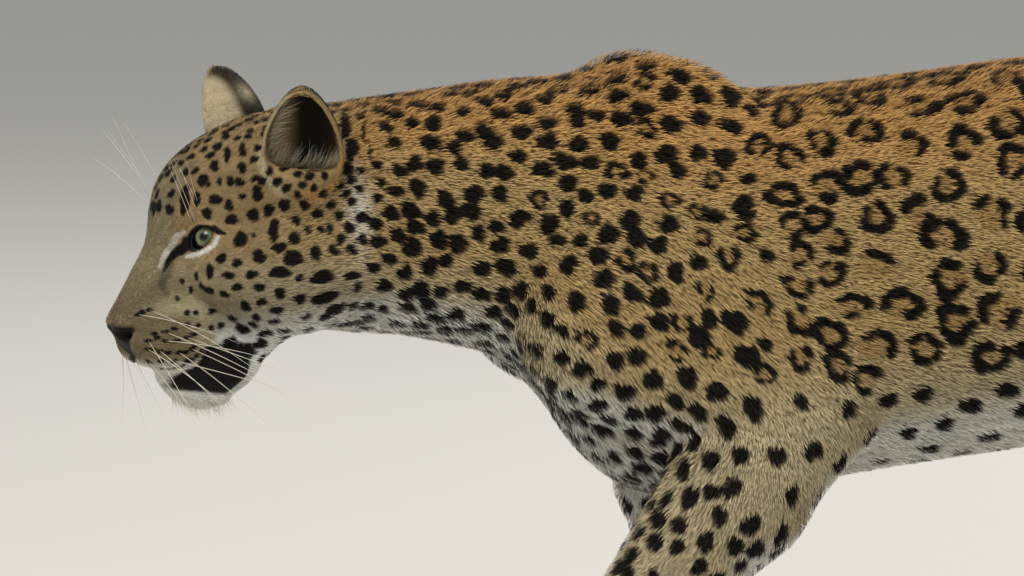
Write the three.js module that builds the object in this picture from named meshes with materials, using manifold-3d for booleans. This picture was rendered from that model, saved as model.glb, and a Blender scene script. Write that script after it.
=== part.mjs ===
// Leopard (Panthera pardus), a still life-size model in a low walking stance.
// Millimetres. Z up, the floor at z = 0, the head towards -X, the animal's left side towards -Y.
// The flesh is a field of named forms joined with soft seams. Each node is one length of it.
import * as THREE from "three";
import { mergeVertices } from "three/addons/utils/BufferGeometryUtils.js";
import Module from "manifold-3d";

const kernel = await Module();
kernel.setup();
const { Manifold, Mesh } = kernel;

// Driving dimensions.

const LEFT = -1;
const RIGHT = 1;
const PART_GAP = 0.3;
const EAR_GAP = 0.5;
const WELD = 0.04;
const FAR_AWAY = 90;
const FORM_REACH = 60;

// The head is turned a little to the left about a point at the nape.
const NAPE = [-250, -4];
const HEAD_TURN = THREE.MathUtils.degToRad(18);
const HEAD_DEG = 18;

// Trunk sections: x, top, bottom, height of the widest place, half width, sideways shift.
const TRUNK_SECTIONS = [
  [-300, 524, 356, 442, 62, -14],
  [-250, 535, 350, 438, 76, -8],
  [-204, 541, 346, 438, 82, -4],
  [-164, 546, 338, 436, 86, -1],
  [-124, 551, 325, 428, 90, 0],
  [-92, 553, 296, 415, 93, 0],
  [-64, 555, 256, 400, 96, 0],
  [-30, 553, 226, 388, 98, 0],
  [10, 550, 214, 380, 101, 0],
  [72, 543, 216, 376, 107, 0],
  [130, 546, 227, 378, 112, 0],
  [196, 553, 238, 380, 114, 0],
  [295, 566, 252, 388, 112, 0],
  [370, 573, 264, 398, 105, 0],
  [440, 576, 282, 416, 95, 0],
  [510, 571, 312, 436, 84, 0],
  [575, 557, 350, 450, 70, 0],
  [630, 534, 398, 466, 52, 0],
  [672, 512, 450, 482, 32, 0],
];
const TRUNK_FULLNESS = 2.25;

// Eyes, in the head's own frame (before it is turned).
const EYE = { x: -128, out: 33, z: 431, radius: 14, lid: 2.5 };
const EYE_INNER_CORNER = [-143, 30, 423];
const EYE_OUTER_CORNER = [-128, 46, 439];
const EYE_OPENING_HALF_HEIGHT = 7.5;
const EYE_OPENING_DEPTH = 12;
const SOCKET_GAP = 0.3;

// Ears: a bowl of even wall, cut off at its rim.
const EAR = { out: 72, halfWidth: 32, halfHeight: 46, depth: 28, wall: 5, taper: 0.26 };
const EAR_PLACES = [
  { side: LEFT, x: -65, z: 509 },
  { side: RIGHT, x: -69, z: 514 },
];
const EAR_UP = [-0.16, 0.36, 0.92];
const EAR_FACING = [-0.47, 0.87, -0.05];
const EAR_CUP_SHIFT = 1.5;
const EAR_RIM = 2;
const EAR_CARVE = 9;
const EAR_FLOOR = 25;

// The line of the mouth from the middle of the lip back to the corner, in the head's frame.
const LIP_LINE = [
  [-184, 0, 331],
  [-180, 12, 326],
  [-169, 24, 322],
  [-158, 29, 326],
  [-148, 33, 334],
  [-138, 37, 342],
  [-114, 43, 346],
  [-93, 48, 343],
];
const LIP_GROOVE = 2.4;
const NOSTRIL = [
  [-199, 8, 353, 4.2],
  [-192, 13, 354, 3.6],
  [-182, 19, 358, 1.8],
];
const PHILTRUM = [
  [-197, 0, 346, 1.6],
  [-186, 0, 333, 1.6],
];

// Tail line: x, y, z and radius.
const TAIL_STATIONS = [
  [610, 0, 500, 44],
  [664, 0, 500, 33],
  [716, 2, 474, 28.5],
  [760, 4, 418, 26.5],
  [806, 6, 338, 25],
  [852, 8, 258, 24],
  [905, 8, 188, 23],
  [975, 4, 146, 22],
  [1050, -4, 140, 21],
  [1118, -12, 172, 20],
  [1160, -16, 226, 18],
  [1176, -18, 262, 14],
];
const TAIL_STEPS = 4;
const TAIL_SIDES = 12;

const FORELEGS = [
  {
    side: LEFT,
    blade: { top: [4, 50, 500], bottom: [-56, 80, 392] },
    withers: [8, 38, 520],
    shoulder: [-58, 74, 360],
    arm: [[-50, 76, 348], [104, 88, 290]],
    triceps: { at: [50, 80, 368], radii: [104, 40, 74], pitch: 38 },
    elbow: [[116, 86, 290], [60, 84, 226]],
    elbowRadii: [48, 57],
    forearm: [[56, 84, 224], [-30, 72, 114]],
    forearmRadii: [58, 38],
    wrist: [-34, 66, 107],
    paw: [-76, 66],
  },
  {
    side: RIGHT,
    blade: { top: [-16, 50, 500], bottom: [-84, 80, 392] },
    withers: [-10, 38, 520],
    shoulder: [-80, 72, 364],
    arm: [[-86, 74, 362], [26, 88, 296]],
    triceps: { at: [-4, 80, 374], radii: [94, 40, 74], pitch: 42 },
    elbow: [[36, 86, 292], [28, 84, 226]],
    elbowRadii: [46, 52],
    forearm: [[28, 84, 224], [44, 70, 112]],
    forearmRadii: [51, 36],
    wrist: [46, 64, 106],
    paw: [8, 64],
  },
];
const FORE_TOE_SPREAD = 22.5;
const FORE_TOE_RADII = [28, 14.5, 21];

const HINDLEGS = [
  { side: LEFT, hip: [568, 440], knee: [497, 246], hock: [690, 142], ball: [716, 42], tilt: 22 },
  { side: RIGHT, hip: [552, 440], knee: [446, 262], hock: [592, 130], ball: [534, 42], tilt: 32 },
];
const HIND_TOE_SPREAD = 19.5;
const HIND_TOE_RADII = [26, 13, 19.5];
const TOES = 4;

// Where the nodes are parted.
const FACE_CUT = -100;
const SKULL_CUT = -10;
const NECK_CUT = -130;
const BELLY_FRONT_CUT = 176;
const BELLY_REAR_CUT = 372;
const TAIL_CUTS = [706, 850, 1010];
const FORELEG_TOP = 250;
const FORELEG_INNER_TOP = 44;
const FORELEG_INNER_FOOT = 14;
const FORELEG_OUTLINE = [[-200, 62], [190, 62], [190, 180], [156, 250], [-60, 250], [-200, 180]];
const FOREPAW_TOP = 62;
const HINDLEG_OUTLINE = [[380, 60], [820, 60], [820, 382], [436, 283], [380, 267]];
const HINDPAW_TOP = 60;
const HINDLEG_INNER = 5;
const LEG_SPAN = 400;

// Forms.

// Soft union of two distances over a seam of the given width.
function join(a, b, seam) {
  const h = THREE.MathUtils.clamp(0.5 + (0.5 * (b - a)) / seam, 0, 1);
  return b * (1 - h) + a * h - seam * h * (1 - h);
}

// A cone with round ends, squeezed from side to side by "squeeze".
function limb(from, to, fromRadius, toRadius, seam, squeeze = 1) {
  const most = Math.max(fromRadius, toRadius);
  const a = [from[0], from[1] / squeeze, from[2]];
  const along = [to[0] - from[0], (to[1] - from[1]) / squeeze, to[2] - from[2]];
  const length2 = along[0] ** 2 + along[1] ** 2 + along[2] ** 2;
  const taper = fromRadius - toRadius;
  const slope2 = length2 - taper * taper;
  return {
    seam,
    low: from.map((v, i) => Math.min(v, to[i]) - most),
    high: from.map((v, i) => Math.max(v, to[i]) + most),
    distance(x, y, z) {
      const px = x - a[0];
      const py = y / squeeze - a[1];
      const pz = z - a[2];
      const t = px * along[0] + py * along[1] + pz * along[2];
      const u = t - length2;
      const sx = px * length2 - t * along[0];
      const sy = py * length2 - t * along[1];
      const sz = pz * length2 - t * along[2];
      const side2 = sx * sx + sy * sy + sz * sz;
      const k = Math.sign(taper) * taper * taper * side2;
      if (Math.sign(u) * slope2 * u * u * length2 > k) {
        return Math.sqrt(side2 + u * u * length2) / length2 - toRadius;
      }
      if (Math.sign(t) * slope2 * t * t * length2 < k) {
        return Math.sqrt(side2 + t * t * length2) / length2 - fromRadius;
      }
      return (Math.sqrt((side2 * slope2) / length2) + t * taper) / length2 - fromRadius;
    },
  };
}

// An ellipsoid pitched about y and then turned about z, in degrees.
function egg(at, radii, seam, turn = 0, pitch = 0) {
  const turned = new THREE.Matrix4().makeRotationZ(THREE.MathUtils.degToRad(turn));
  turned.multiply(new THREE.Matrix4().makeRotationY(THREE.MathUtils.degToRad(pitch)));
  const m = turned.elements;
  const reach = [0, 1, 2].map((i) =>
    Math.hypot(m[i] * radii[0], m[4 + i] * radii[1], m[8 + i] * radii[2]),
  );
  return {
    seam,
    low: at.map((v, i) => v - reach[i]),
    high: at.map((v, i) => v + reach[i]),
    distance(x, y, z) {
      const px = x - at[0];
      const py = y - at[1];
      const pz = z - at[2];
      const qx = (px * m[0] + py * m[1] + pz * m[2]) / radii[0];
      const qy = (px * m[4] + py * m[5] + pz * m[6]) / radii[1];
      const qz = (px * m[8] + py * m[9] + pz * m[10]) / radii[2];
      const k0 = Math.hypot(qx, qy, qz);
      const k1 = Math.hypot(qx / radii[0], qy / radii[1], qz / radii[2]);
      return (k0 * (k0 - 1)) / Math.max(k1, 1e-9);
    },
  };
}

// The same ellipsoid taken away instead of added.
function hollow(at, radii, seam, turn = 0) {
  return { ...egg(at, radii, seam, turn), carves: true };
}

// Slopes of every column of the trunk's sections, for a smooth run through them.
function sectionSlopes(rows) {
  return rows.map((row, i) => {
    const before = rows[Math.max(i - 1, 0)];
    const after = rows[Math.min(i + 1, rows.length - 1)];
    if (i === 0 || i === rows.length - 1) {
      return row.map((v, c) => (after[c] - before[c]) / (after[0] - before[0]));
    }
    const h0 = row[0] - before[0];
    const h1 = after[0] - row[0];
    return row.map((v, c) => {
      const s0 = (v - before[c]) / h0;
      const s1 = (after[c] - v) / h1;
      return (s0 * h1 + s1 * h0) / (h0 + h1);
    });
  });
}

// The trunk: egg-shaped sections along x.
function trunk(rows, seam) {
  const slopes = sectionSlopes(rows);
  const first = rows[0][0];
  const last = rows[rows.length - 1][0];
  const widest = Math.max(...rows.map((r) => r[4]));
  return {
    seam,
    low: [first, -widest, Math.min(...rows.map((r) => r[2]))],
    high: [last, widest, Math.max(...rows.map((r) => r[1]))],
    distance(x, y, z) {
      const at = THREE.MathUtils.clamp(x, first, last);
      let i = 0;
      while (i < rows.length - 2 && at >= rows[i + 1][0]) {
        i += 1;
      }
      const h = rows[i + 1][0] - rows[i][0];
      const u = (at - rows[i][0]) / h;
      const run = (c) =>
        (1 + 2 * u) * (1 - u) ** 2 * rows[i][c] +
        u * (1 - u) ** 2 * h * slopes[i][c] +
        u * u * (3 - 2 * u) * rows[i + 1][c] +
        u * u * (u - 1) * h * slopes[i + 1][c];
      const middle = run(3);
      const half = run(4);
      const dz = z - middle;
      const dy = y - run(5);
      const tall = dz > 0 ? run(1) - middle : middle - run(2);
      const f =
        ((Math.abs(dy) / half) ** TRUNK_FULLNESS + (Math.abs(dz) / tall) ** TRUNK_FULLNESS) **
        (1 / TRUNK_FULLNESS);
      const r = Math.hypot(dy, dz);
      const inside = f < 1e-3 ? -Math.min(half, tall) : r - r / f;
      const past = Math.max(first - x, x - last);
      return past > 0 ? Math.hypot(Math.max(inside, 0), past) : inside;
    },
  };
}

// Points along a smooth line through stations of any number of values.
function smoothLine(stations, steps) {
  const line = [];
  const last = stations.length - 1;
  for (let i = 0; i < last; i += 1) {
    const p0 = stations[Math.max(i - 1, 0)];
    const p1 = stations[i];
    const p2 = stations[i + 1];
    const p3 = stations[Math.min(i + 2, last)];
    for (let j = 0; j < steps; j += 1) {
      const t = j / steps;
      line.push(
        p1.map(
          (v, c) =>
            0.5 *
            (2 * v +
              (p2[c] - p0[c]) * t +
              (2 * p0[c] - 5 * v + 4 * p2[c] - p3[c]) * t * t +
              (3 * v - p0[c] - 3 * p2[c] + p3[c]) * t ** 3),
        ),
      );
    }
  }
  line.push(stations[last]);
  return line;
}

// A round cord along a smooth line of stations x, y, z, radius.
function cord(stations, steps, seam) {
  const line = smoothLine(stations, steps);
  return {
    seam,
    low: [0, 1, 2].map((c) => Math.min(...line.map((p) => p[c] - p[3]))),
    high: [0, 1, 2].map((c) => Math.max(...line.map((p) => p[c] + p[3]))),
    distance(x, y, z) {
      let least = 1e3;
      for (let i = 0; i < line.length - 1; i += 1) {
        const a = line[i];
        const b = line[i + 1];
        const bx = b[0] - a[0];
        const by = b[1] - a[1];
        const bz = b[2] - a[2];
        const along = (x - a[0]) * bx + (y - a[1]) * by + (z - a[2]) * bz;
        const t = THREE.MathUtils.clamp(along / (bx * bx + by * by + bz * bz), 0, 1);
        const away = Math.hypot(x - a[0] - t * bx, y - a[1] - t * by, z - a[2] - t * bz);
        least = Math.min(least, away - a[3] - t * (b[3] - a[3]));
      }
      return least;
    },
  };
}

// The head's frame.

// A place given in the head's own frame, in the body's frame.
function fromHead([x, y, z]) {
  const c = Math.cos(HEAD_TURN);
  const s = Math.sin(HEAD_TURN);
  return [NAPE[0] + x * c - y * s, NAPE[1] + x * s + y * c, z];
}

function headForms() {
  const egged = (at, radii, seam, turn = 0, pitch = 0) =>
    egg(fromHead(at), radii, seam, HEAD_DEG + turn, pitch);
  const pair = (make) => [LEFT, RIGHT].map(make);
  return [
    egged([-60, 0, 455], [84, 63, 73], 26),
    egged([-111, 0, 450], [53, 45, 52], 22),
    limb(fromHead([-134, 0, 426]), fromHead([-176, 0, 373]), 30, 20, 16),
    ...pair((s) => egged([-181, s * 7, 362], [20, 13.5, 15], 9)),
    egged([-145, 0, 357], [44, 40, 32], 14),
    ...pair((s) => egged([-157, s * 20, 347], [30, 22, 22], 9, s * 8)),
    ...pair((s) => egged([-124, s * 31, 443], [26, 19, 17], 14, 0, -12)),
    ...pair((s) => egged([-92, s * 48, 402], [52, 32, 32], 26, s * 14)),
    ...pair((s) => egged([-58, s * 46, 398], [56, 36, 44], 26, s * 6, -10)),
    limb(fromHead([-62, 0, 384]), fromHead([-122, 0, 322]), 35, 25, 16),
    ...pair((s) =>
      limb(fromHead([-68, s * 32, 380]), fromHead([-116, s * 16, 322]), 22, 19, 16),
    ),
    egged([-130, 0, 313], [31, 24, 18], 12, 0, 20),
    ...pair((s) => egged([-114, s * 27, 329], [26, 15, 20], 12)),
    ...pair((s) => hollow(fromHead([-149, s * 47, 433]), [16, 16, 14], 10, HEAD_DEG)),
    ...pair((s) => {
      const lid = EYE.radius + EYE.lid;
      return egged([EYE.x - 1, s * (EYE.out + 1), EYE.z], [lid, lid, lid], 9);
    }),
    ...pair((s) =>
      limb(fromHead([-50, s * 42, 470]), fromHead([-52, s * 56, 488]), 30, 22, 16),
    ),
  ];
}

function forelegForms(leg) {
  const s = leg.side;
  const at = ([x, y, z]) => [x, s * y, z];
  const [px, py] = leg.paw;
  const forms = [
    egg(at(leg.withers), [62, 27, 52], 26, 0, 8),
    limb(at(leg.blade.top), at(leg.blade.bottom), 36, 50, 34, 0.72),
    egg(at(leg.shoulder), [50, 37, 54], 30),
    limb(at(leg.arm[0]), at(leg.arm[1]), 56, 48, 28, 0.72),
    egg(at(leg.triceps.at), leg.triceps.radii, 28, 0, leg.triceps.pitch),
    limb(at(leg.elbow[0]), at(leg.elbow[1]), ...leg.elbowRadii, 22, 0.76),
    limb(at(leg.forearm[0]), at(leg.forearm[1]), ...leg.forearmRadii, 14, 0.8),
    limb(at(leg.wrist), at([px + 12, py, 40]), 36, 32, 14),
    egg(at([px + 2, py, 27]), [42, 40, 30], 12),
  ];
  for (let i = 0; i < TOES; i += 1) {
    const off = i - (TOES - 1) / 2;
    const toe = [px - 33 + Math.abs(off) * 9, s * py + off * FORE_TOE_SPREAD, 18.5];
    forms.push(egg(toe, FORE_TOE_RADII, 7, -off * 5));
  }
  return forms;
}

function hindlegForms(leg) {
  const s = leg.side;
  const [hx, hz] = leg.hip;
  const [kx, kz] = leg.knee;
  const [ox, oz] = leg.hock;
  const [bx, bz] = leg.ball;
  const shank = [kx * 0.42 + ox * 0.58, s * 72, kz * 0.42 + oz * 0.58 + 2];
  const forms = [
    egg([(hx + kx) / 2 + 22, s * 68, (hz + kz) / 2 + 22], [82, 42, 122], 34, 0, leg.tilt),
    limb([hx - 40, s * 52, hz - 14], [kx + 6, s * 78, kz + 10], 58, 46, 34, 0.66),
    limb([hx + 74, s * 46, hz - 6], [kx + 84, s * 68, kz + 20], 50, 40, 30, 0.7),
    limb([kx + 14, s * 78, kz - 6], shank, 48, 33, 20, 0.76),
    limb(shank, [ox, s * 66, oz], 33, 26, 14, 0.8),
    egg([ox + 12, s * 66, oz + 10], [20, 18, 25], 14),
    limb([ox + 4, s * 66, oz - 6], [bx - 4, s * 60, bz + 8], 27, 27, 12, 0.95),
    egg([bx - 14, s * 60, 25], [38, 35, 28], 12),
  ];
  for (let i = 0; i < TOES; i += 1) {
    const off = i - (TOES - 1) / 2;
    const toe = [bx - 44 + Math.abs(off) * 8, s * 60 + off * HIND_TOE_SPREAD, 17];
    forms.push(egg(toe, HIND_TOE_RADII, 7, -off * 4));
  }
  return forms;
}

const FORMS = [
  trunk(TRUNK_SECTIONS, 20),
  ...headForms(),
  ...FORELEGS.flatMap(forelegForms),
  ...HINDLEGS.flatMap(hindlegForms),
  cord(TAIL_STATIONS, TAIL_STEPS, 22),
];

// Distance to the skin: below zero is flesh.
function skin(x, y, z) {
  let d = FAR_AWAY;
  for (const form of FORMS) {
    const far =
      x < form.low[0] - FORM_REACH ||
      x > form.high[0] + FORM_REACH ||
      y < form.low[1] - FORM_REACH ||
      y > form.high[1] + FORM_REACH ||
      z < form.low[2] - FORM_REACH ||
      z > form.high[2] + FORM_REACH;
    if (far) {
      continue;
    }
    const other = form.distance(x, y, z);
    d = form.carves ? -join(-d, other, form.seam) : join(d, other, form.seam);
  }
  return d;
}

// A point moved along the slope of the field until it lies at the level, at most "most" away.
function settle(p, level, most) {
  const e = 0.5;
  let [x, y, z] = p;
  for (let pass = 0; pass < 3; pass += 1) {
    const d = skin(x, y, z) - level;
    const gx = (skin(x + e, y, z) - skin(x - e, y, z)) / (2 * e);
    const gy = (skin(x, y + e, z) - skin(x, y - e, z)) / (2 * e);
    const gz = (skin(x, y, z + e) - skin(x, y, z - e)) / (2 * e);
    const g2 = Math.max(gx * gx + gy * gy + gz * gz, 0.05);
    x -= (gx * d) / g2;
    y -= (gy * d) / g2;
    z -= (gz * d) / g2;
  }
  const moved = Math.hypot(x - p[0], y - p[1], z - p[2]);
  return moved <= most ? [x, y, z] : p;
}

// Solids.

function solidFrom(positions, triangles) {
  return new Manifold(
    new Mesh({
      numProp: 3,
      vertProperties: new Float32Array(positions),
      triVerts: new Uint32Array(triangles),
    }),
  );
}

// A closed geometry as a solid.
function solidOf(geometry) {
  const bare = new THREE.BufferGeometry();
  bare.setAttribute("position", geometry.getAttribute("position"));
  bare.setIndex(geometry.getIndex());
  const merged = mergeVertices(bare, 1e-3);
  const index = merged.getIndex().array;
  const positions = merged.getAttribute("position").array;
  const kept = [];
  for (let i = 0; i < index.length; i += 3) {
    const [a, b, c] = [index[i], index[i + 1], index[i + 2]];
    if (a !== b && b !== c && c !== a) {
      kept.push(a, b, c);
    }
  }
  return solidFrom(positions, kept);
}

function box(low, high) {
  const size = high.map((v, i) => v - low[i]);
  const geometry = new THREE.BoxGeometry(...size);
  geometry.translate(...low.map((v, i) => v + size[i] / 2));
  return geometry;
}

// A box given in the head's frame.
function headBox(low, high) {
  const geometry = box(low, high);
  geometry.rotateZ(HEAD_TURN);
  geometry.translate(NAPE[0], NAPE[1], 0);
  return geometry;
}

// An outline in the XZ plane drawn out from one y to another.
function prism(outline, fromY, toY) {
  const shape = new THREE.Shape(outline.map(([x, z]) => new THREE.Vector2(x, z)));
  const geometry = new THREE.ExtrudeGeometry(shape, { depth: toY - fromY, bevelEnabled: false });
  geometry.rotateX(Math.PI / 2);
  geometry.translate(0, toY, 0);
  return geometry;
}

// The skin at a level between two corners, as one closed solid of cells of the given size.
// The grid lies in the body's frame, or in the head's own.
function fleshBetween(low, high, cell, inHead = false, level = 0) {
  const toBody = inHead ? fromHead : (p) => p;
  const n = low.map((v, i) => Math.ceil((high[i] - v) / cell) + 1);
  const at = (i, j, k) => (k * n[1] + j) * n[0] + i;
  const values = new Float64Array(n[0] * n[1] * n[2]);
  for (let k = 0; k < n[2]; k += 1) {
    for (let j = 0; j < n[1]; j += 1) {
      for (let i = 0; i < n[0]; i += 1) {
        const border = Math.min(i, j, k, n[0] - 1 - i, n[1] - 1 - j, n[2] - 1 - k) === 0;
        const p = toBody([low[0] + i * cell, low[1] + j * cell, low[2] + k * cell]);
        values[at(i, j, k)] = border ? cell / 2 : skin(...p) - level;
      }
    }
  }
  const positions = [];
  const numbers = new Int32Array(values.length).fill(-1);
  const corners = [0, 1, 2, 3, 4, 5, 6, 7].map((c) => [c & 1, (c >> 1) & 1, c >> 2]);
  for (let k = 0; k < n[2] - 1; k += 1) {
    for (let j = 0; j < n[1] - 1; j += 1) {
      for (let i = 0; i < n[0] - 1; i += 1) {
        const v = corners.map(([a, b, c]) => values[at(i + a, j + b, k + c)]);
        const sum = [0, 0, 0];
        let crossings = 0;
        for (let a = 0; a < 8; a += 1) {
          for (const bit of [1, 2, 4]) {
            const b = a | bit;
            if (b === a || v[a] < 0 === v[b] < 0) {
              continue;
            }
            const t = v[a] / (v[a] - v[b]);
            sum[0] += corners[a][0] + t * (corners[b][0] - corners[a][0]);
            sum[1] += corners[a][1] + t * (corners[b][1] - corners[a][1]);
            sum[2] += corners[a][2] + t * (corners[b][2] - corners[a][2]);
            crossings += 1;
          }
        }
        if (crossings > 0) {
          const place = [i, j, k].map((g, c) => low[c] + (g + sum[c] / crossings) * cell);
          numbers[at(i, j, k)] = positions.length / 3;
          positions.push(...settle(toBody(place), level, cell * 0.6));
        }
      }
    }
  }
  const triangles = [];
  const step = [[1, 0, 0], [0, 1, 0], [0, 0, 1]];
  for (let k = 0; k < n[2] - 1; k += 1) {
    for (let j = 0; j < n[1] - 1; j += 1) {
      for (let i = 0; i < n[0] - 1; i += 1) {
        for (let axis = 0; axis < 3; axis += 1) {
          const [da, db, dc] = step[axis];
          const here = values[at(i, j, k)] < 0;
          if (here === values[at(i + da, j + db, k + dc)] < 0) {
            continue;
          }
          const [ua, ub, uc] = step[(axis + 1) % 3];
          const [va, vb, vc] = step[(axis + 2) % 3];
          const ring = [
            numbers[at(i - ua - va, j - ub - vb, k - uc - vc)],
            numbers[at(i - va, j - vb, k - vc)],
            numbers[at(i, j, k)],
            numbers[at(i - ua, j - ub, k - uc)],
          ];
          const [a, b, c, d] = here ? ring : ring.reverse();
          triangles.push(a, b, c, a, c, d);
        }
      }
    }
  }
  return solidFrom(positions, triangles);
}

// The same skin when the first or last grid layer holds flesh: the grid is grown by some cells.
function flesh(low, high, cell, inHead = false, level = 0) {
  const grow = 2.5 * cell;
  return fleshBetween(
    low.map((v) => v - grow),
    high.map((v) => v + grow),
    cell,
    inHead,
    level,
  );
}

// A closed round tube along a line of x, y, z, radius.
function tube(line, sides) {
  const positions = [];
  const triangles = [];
  const ahead = new THREE.Vector3();
  const across = new THREE.Vector3();
  const up = new THREE.Vector3();
  line.forEach(([x, y, z, r], i) => {
    const a = line[Math.max(i - 1, 0)];
    const b = line[Math.min(i + 1, line.length - 1)];
    ahead.set(b[0] - a[0], b[1] - a[1], b[2] - a[2]).normalize();
    across.set(0.12, 1, 0.07).cross(ahead).normalize();
    up.crossVectors(ahead, across);
    for (let s = 0; s < sides; s += 1) {
      const turn = (2 * Math.PI * s) / sides;
      const c = Math.cos(turn) * r;
      const d = Math.sin(turn) * r;
      positions.push(x + c * across.x + d * up.x, y + c * across.y + d * up.y);
      positions.push(z + c * across.z + d * up.z);
    }
  });
  for (let i = 0; i < line.length - 1; i += 1) {
    for (let s = 0; s < sides; s += 1) {
      const a = i * sides + s;
      const b = i * sides + ((s + 1) % sides);
      triangles.push(a, b, b + sides, a, b + sides, a + sides);
    }
  }
  const start = positions.length / 3;
  positions.push(...line[0].slice(0, 3), ...line[line.length - 1].slice(0, 3));
  for (let s = 0; s < sides; s += 1) {
    const next = (s + 1) % sides;
    const base = (line.length - 1) * sides;
    triangles.push(start, next, s, start + 1, base + s, base + next);
  }
  return solidFrom(positions, triangles);
}

// Small features.

// Orthonormal axes from a first direction and a second one near it.
function axes(first, second) {
  const a = new THREE.Vector3(...first).normalize();
  const b = new THREE.Vector3(...second);
  b.addScaledVector(a, -b.dot(a)).normalize();
  return [a, b, new THREE.Vector3().crossVectors(a, b)];
}

function headVector([x, y, z]) {
  return new THREE.Vector3(x, y, z).applyAxisAngle(new THREE.Vector3(0, 0, 1), HEAD_TURN);
}

// An ellipsoid whose radii lie along three axes given in the head's frame. With a taper its
// third axis narrows towards the far end of the first.
function oval(centre, radii, [a, b, c], rings = 9, taper = 0) {
  const geometry = new THREE.SphereGeometry(1, rings * 2, rings);
  const place = geometry.getAttribute("position");
  for (let i = 0; i < place.count; i += 1) {
    place.setZ(i, place.getZ(i) * (1 - taper * place.getX(i)));
  }
  const basis = new THREE.Matrix4().makeBasis(
    headVector(a.toArray()).multiplyScalar(radii[0]),
    headVector(b.toArray()).multiplyScalar(radii[1]),
    headVector(c.toArray()).multiplyScalar(radii[2]),
  );
  basis.setPosition(...fromHead(centre));
  geometry.applyMatrix4(basis);
  return geometry;
}

function eyeCentre(s) {
  return [EYE.x, s * EYE.out, EYE.z];
}

function eyeball(s, radius, rings) {
  const straight = axes([1, 0, 0], [0, 1, 0]);
  return oval(eyeCentre(s), [radius, radius, radius], straight, rings);
}

// The almond opening between the lids.
function eyeOpening(s) {
  const inner = new THREE.Vector3(...EYE_INNER_CORNER);
  const outer = new THREE.Vector3(...EYE_OUTER_CORNER);
  inner.y *= s;
  outer.y *= s;
  const middle = inner.clone().add(outer).multiplyScalar(0.5);
  const slant = outer.clone().sub(inner);
  const gaze = middle.clone().sub(new THREE.Vector3(...eyeCentre(s)));
  let [a, b, c] = axes(slant.toArray(), gaze.toArray());
  if (s > 0) {
    c = c.negate();
    [a, b, c] = [a, c, b];
    return solidOf(
      oval(middle.toArray(), [slant.length() / 2, EYE_OPENING_HALF_HEIGHT, EYE_OPENING_DEPTH], [a, b, c]),
    );
  }
  return solidOf(
    oval(middle.toArray(), [slant.length() / 2, EYE_OPENING_DEPTH, EYE_OPENING_HALF_HEIGHT], [a, b, c]),
  );
}

// Axes of an ear: across, up and the way its cup faces.
function earAxes(s) {
  const mirrored = ([x, y, z]) => [x, s * y, z];
  const [up, facing, across] = axes(mirrored(EAR_UP), mirrored(EAR_FACING));
  return [up, facing, across];
}

function earCentre(s) {
  const place = EAR_PLACES.find((p) => p.side === s);
  return new THREE.Vector3(place.x, s * EAR.out, place.z);
}

function earOval(s, shrink, shift) {
  const [up, facing, across] = earAxes(s);
  const centre = earCentre(s).addScaledVector(facing, shift);
  const radii = [EAR.halfHeight - shrink, EAR.depth - shrink, EAR.halfWidth - shrink];
  return solidOf(oval(centre.toArray(), radii, [up, facing, across], 9, EAR.taper));
}

// Everything behind a plane "ahead" of the middle of the bowl, down to a floor below it.
function behindRim(s, ahead, floor = EAR.halfHeight * 1.5) {
  const [up, facing, across] = earAxes(s);
  const size = EAR.halfHeight * 3;
  const slab = new THREE.BoxGeometry(size, size, size);
  slab.translate(size / 2 - floor, ahead - size / 2, 0);
  const basis = new THREE.Matrix4().makeBasis(
    headVector(up.toArray()),
    headVector(facing.toArray()),
    headVector(across.toArray()),
  );
  basis.setPosition(...fromHead(earCentre(s).toArray()));
  slab.applyMatrix4(basis);
  return solidOf(slab);
}

// The bowl of the ear behind its rim, not yet cut to the head.
function earBowl(s) {
  const bowl = earOval(s, 0, 0).subtract(earOval(s, EAR.wall, EAR_CUP_SHIFT));
  return bowl.intersect(behindRim(s, EAR_RIM));
}

// The line of the mouth laid on the skin, from one corner round the front to the other.
function mouthGroove() {
  const half = LIP_LINE.map(([x, y, z]) => [x, y, z]);
  const round = [
    ...half.slice(1).reverse().map(([x, y, z]) => [x, -y, z]),
    ...half,
  ];
  const onSkin = round.map((p) => [...settle(fromHead(p), -0.5, 12), LIP_GROOVE]);
  onSkin[0][3] = LIP_GROOVE * 0.6;
  onSkin[onSkin.length - 1][3] = LIP_GROOVE * 0.6;
  return tube(smoothLine(onSkin, 2), 6);
}

function headTube(stations, s, sides) {
  const line = stations.map(([x, y, z, r]) => [...fromHead([x, s * y, z]), r]);
  return tube(smoothLine(line, 2), sides);
}

// Nodes.

const COAT = 0xb98a4f;
const PALE = 0xcfc3a6;
const IRIS = 0x9aa37a;
const half = PART_GAP / 2;
const BIG = 2000;
const FLOOR = 0;

const group = new THREE.Group();
group.name = "leopard";

// A solid's surface with the crumbs along its cuts welded away.
function surfaceOf(solid) {
  const made = solid.getMesh();
  const raw = new THREE.BufferGeometry();
  raw.setAttribute("position", new THREE.BufferAttribute(made.vertProperties, made.numProp));
  raw.setIndex(new THREE.BufferAttribute(made.triVerts, 1));
  const geometry = mergeVertices(raw, WELD);
  const index = geometry.getIndex().array;
  const faces = new Map();
  for (let i = 0; i < index.length; i += 3) {
    const face = [index[i], index[i + 1], index[i + 2]];
    if (new Set(face).size < 3) {
      continue;
    }
    const key = [...face].sort((a, b) => a - b).join();
    if (faces.has(key)) {
      faces.delete(key);
    } else {
      faces.set(key, face);
    }
  }
  geometry.setIndex([...faces.values()].flat());
  geometry.computeVertexNormals();
  return geometry;
}

// The largest closed body of a solid, without loose slivers.
function largestBody(solid) {
  const bodies = solid.decompose();
  return bodies.reduce((most, body) => (body.volume() > most.volume() ? body : most));
}

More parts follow.
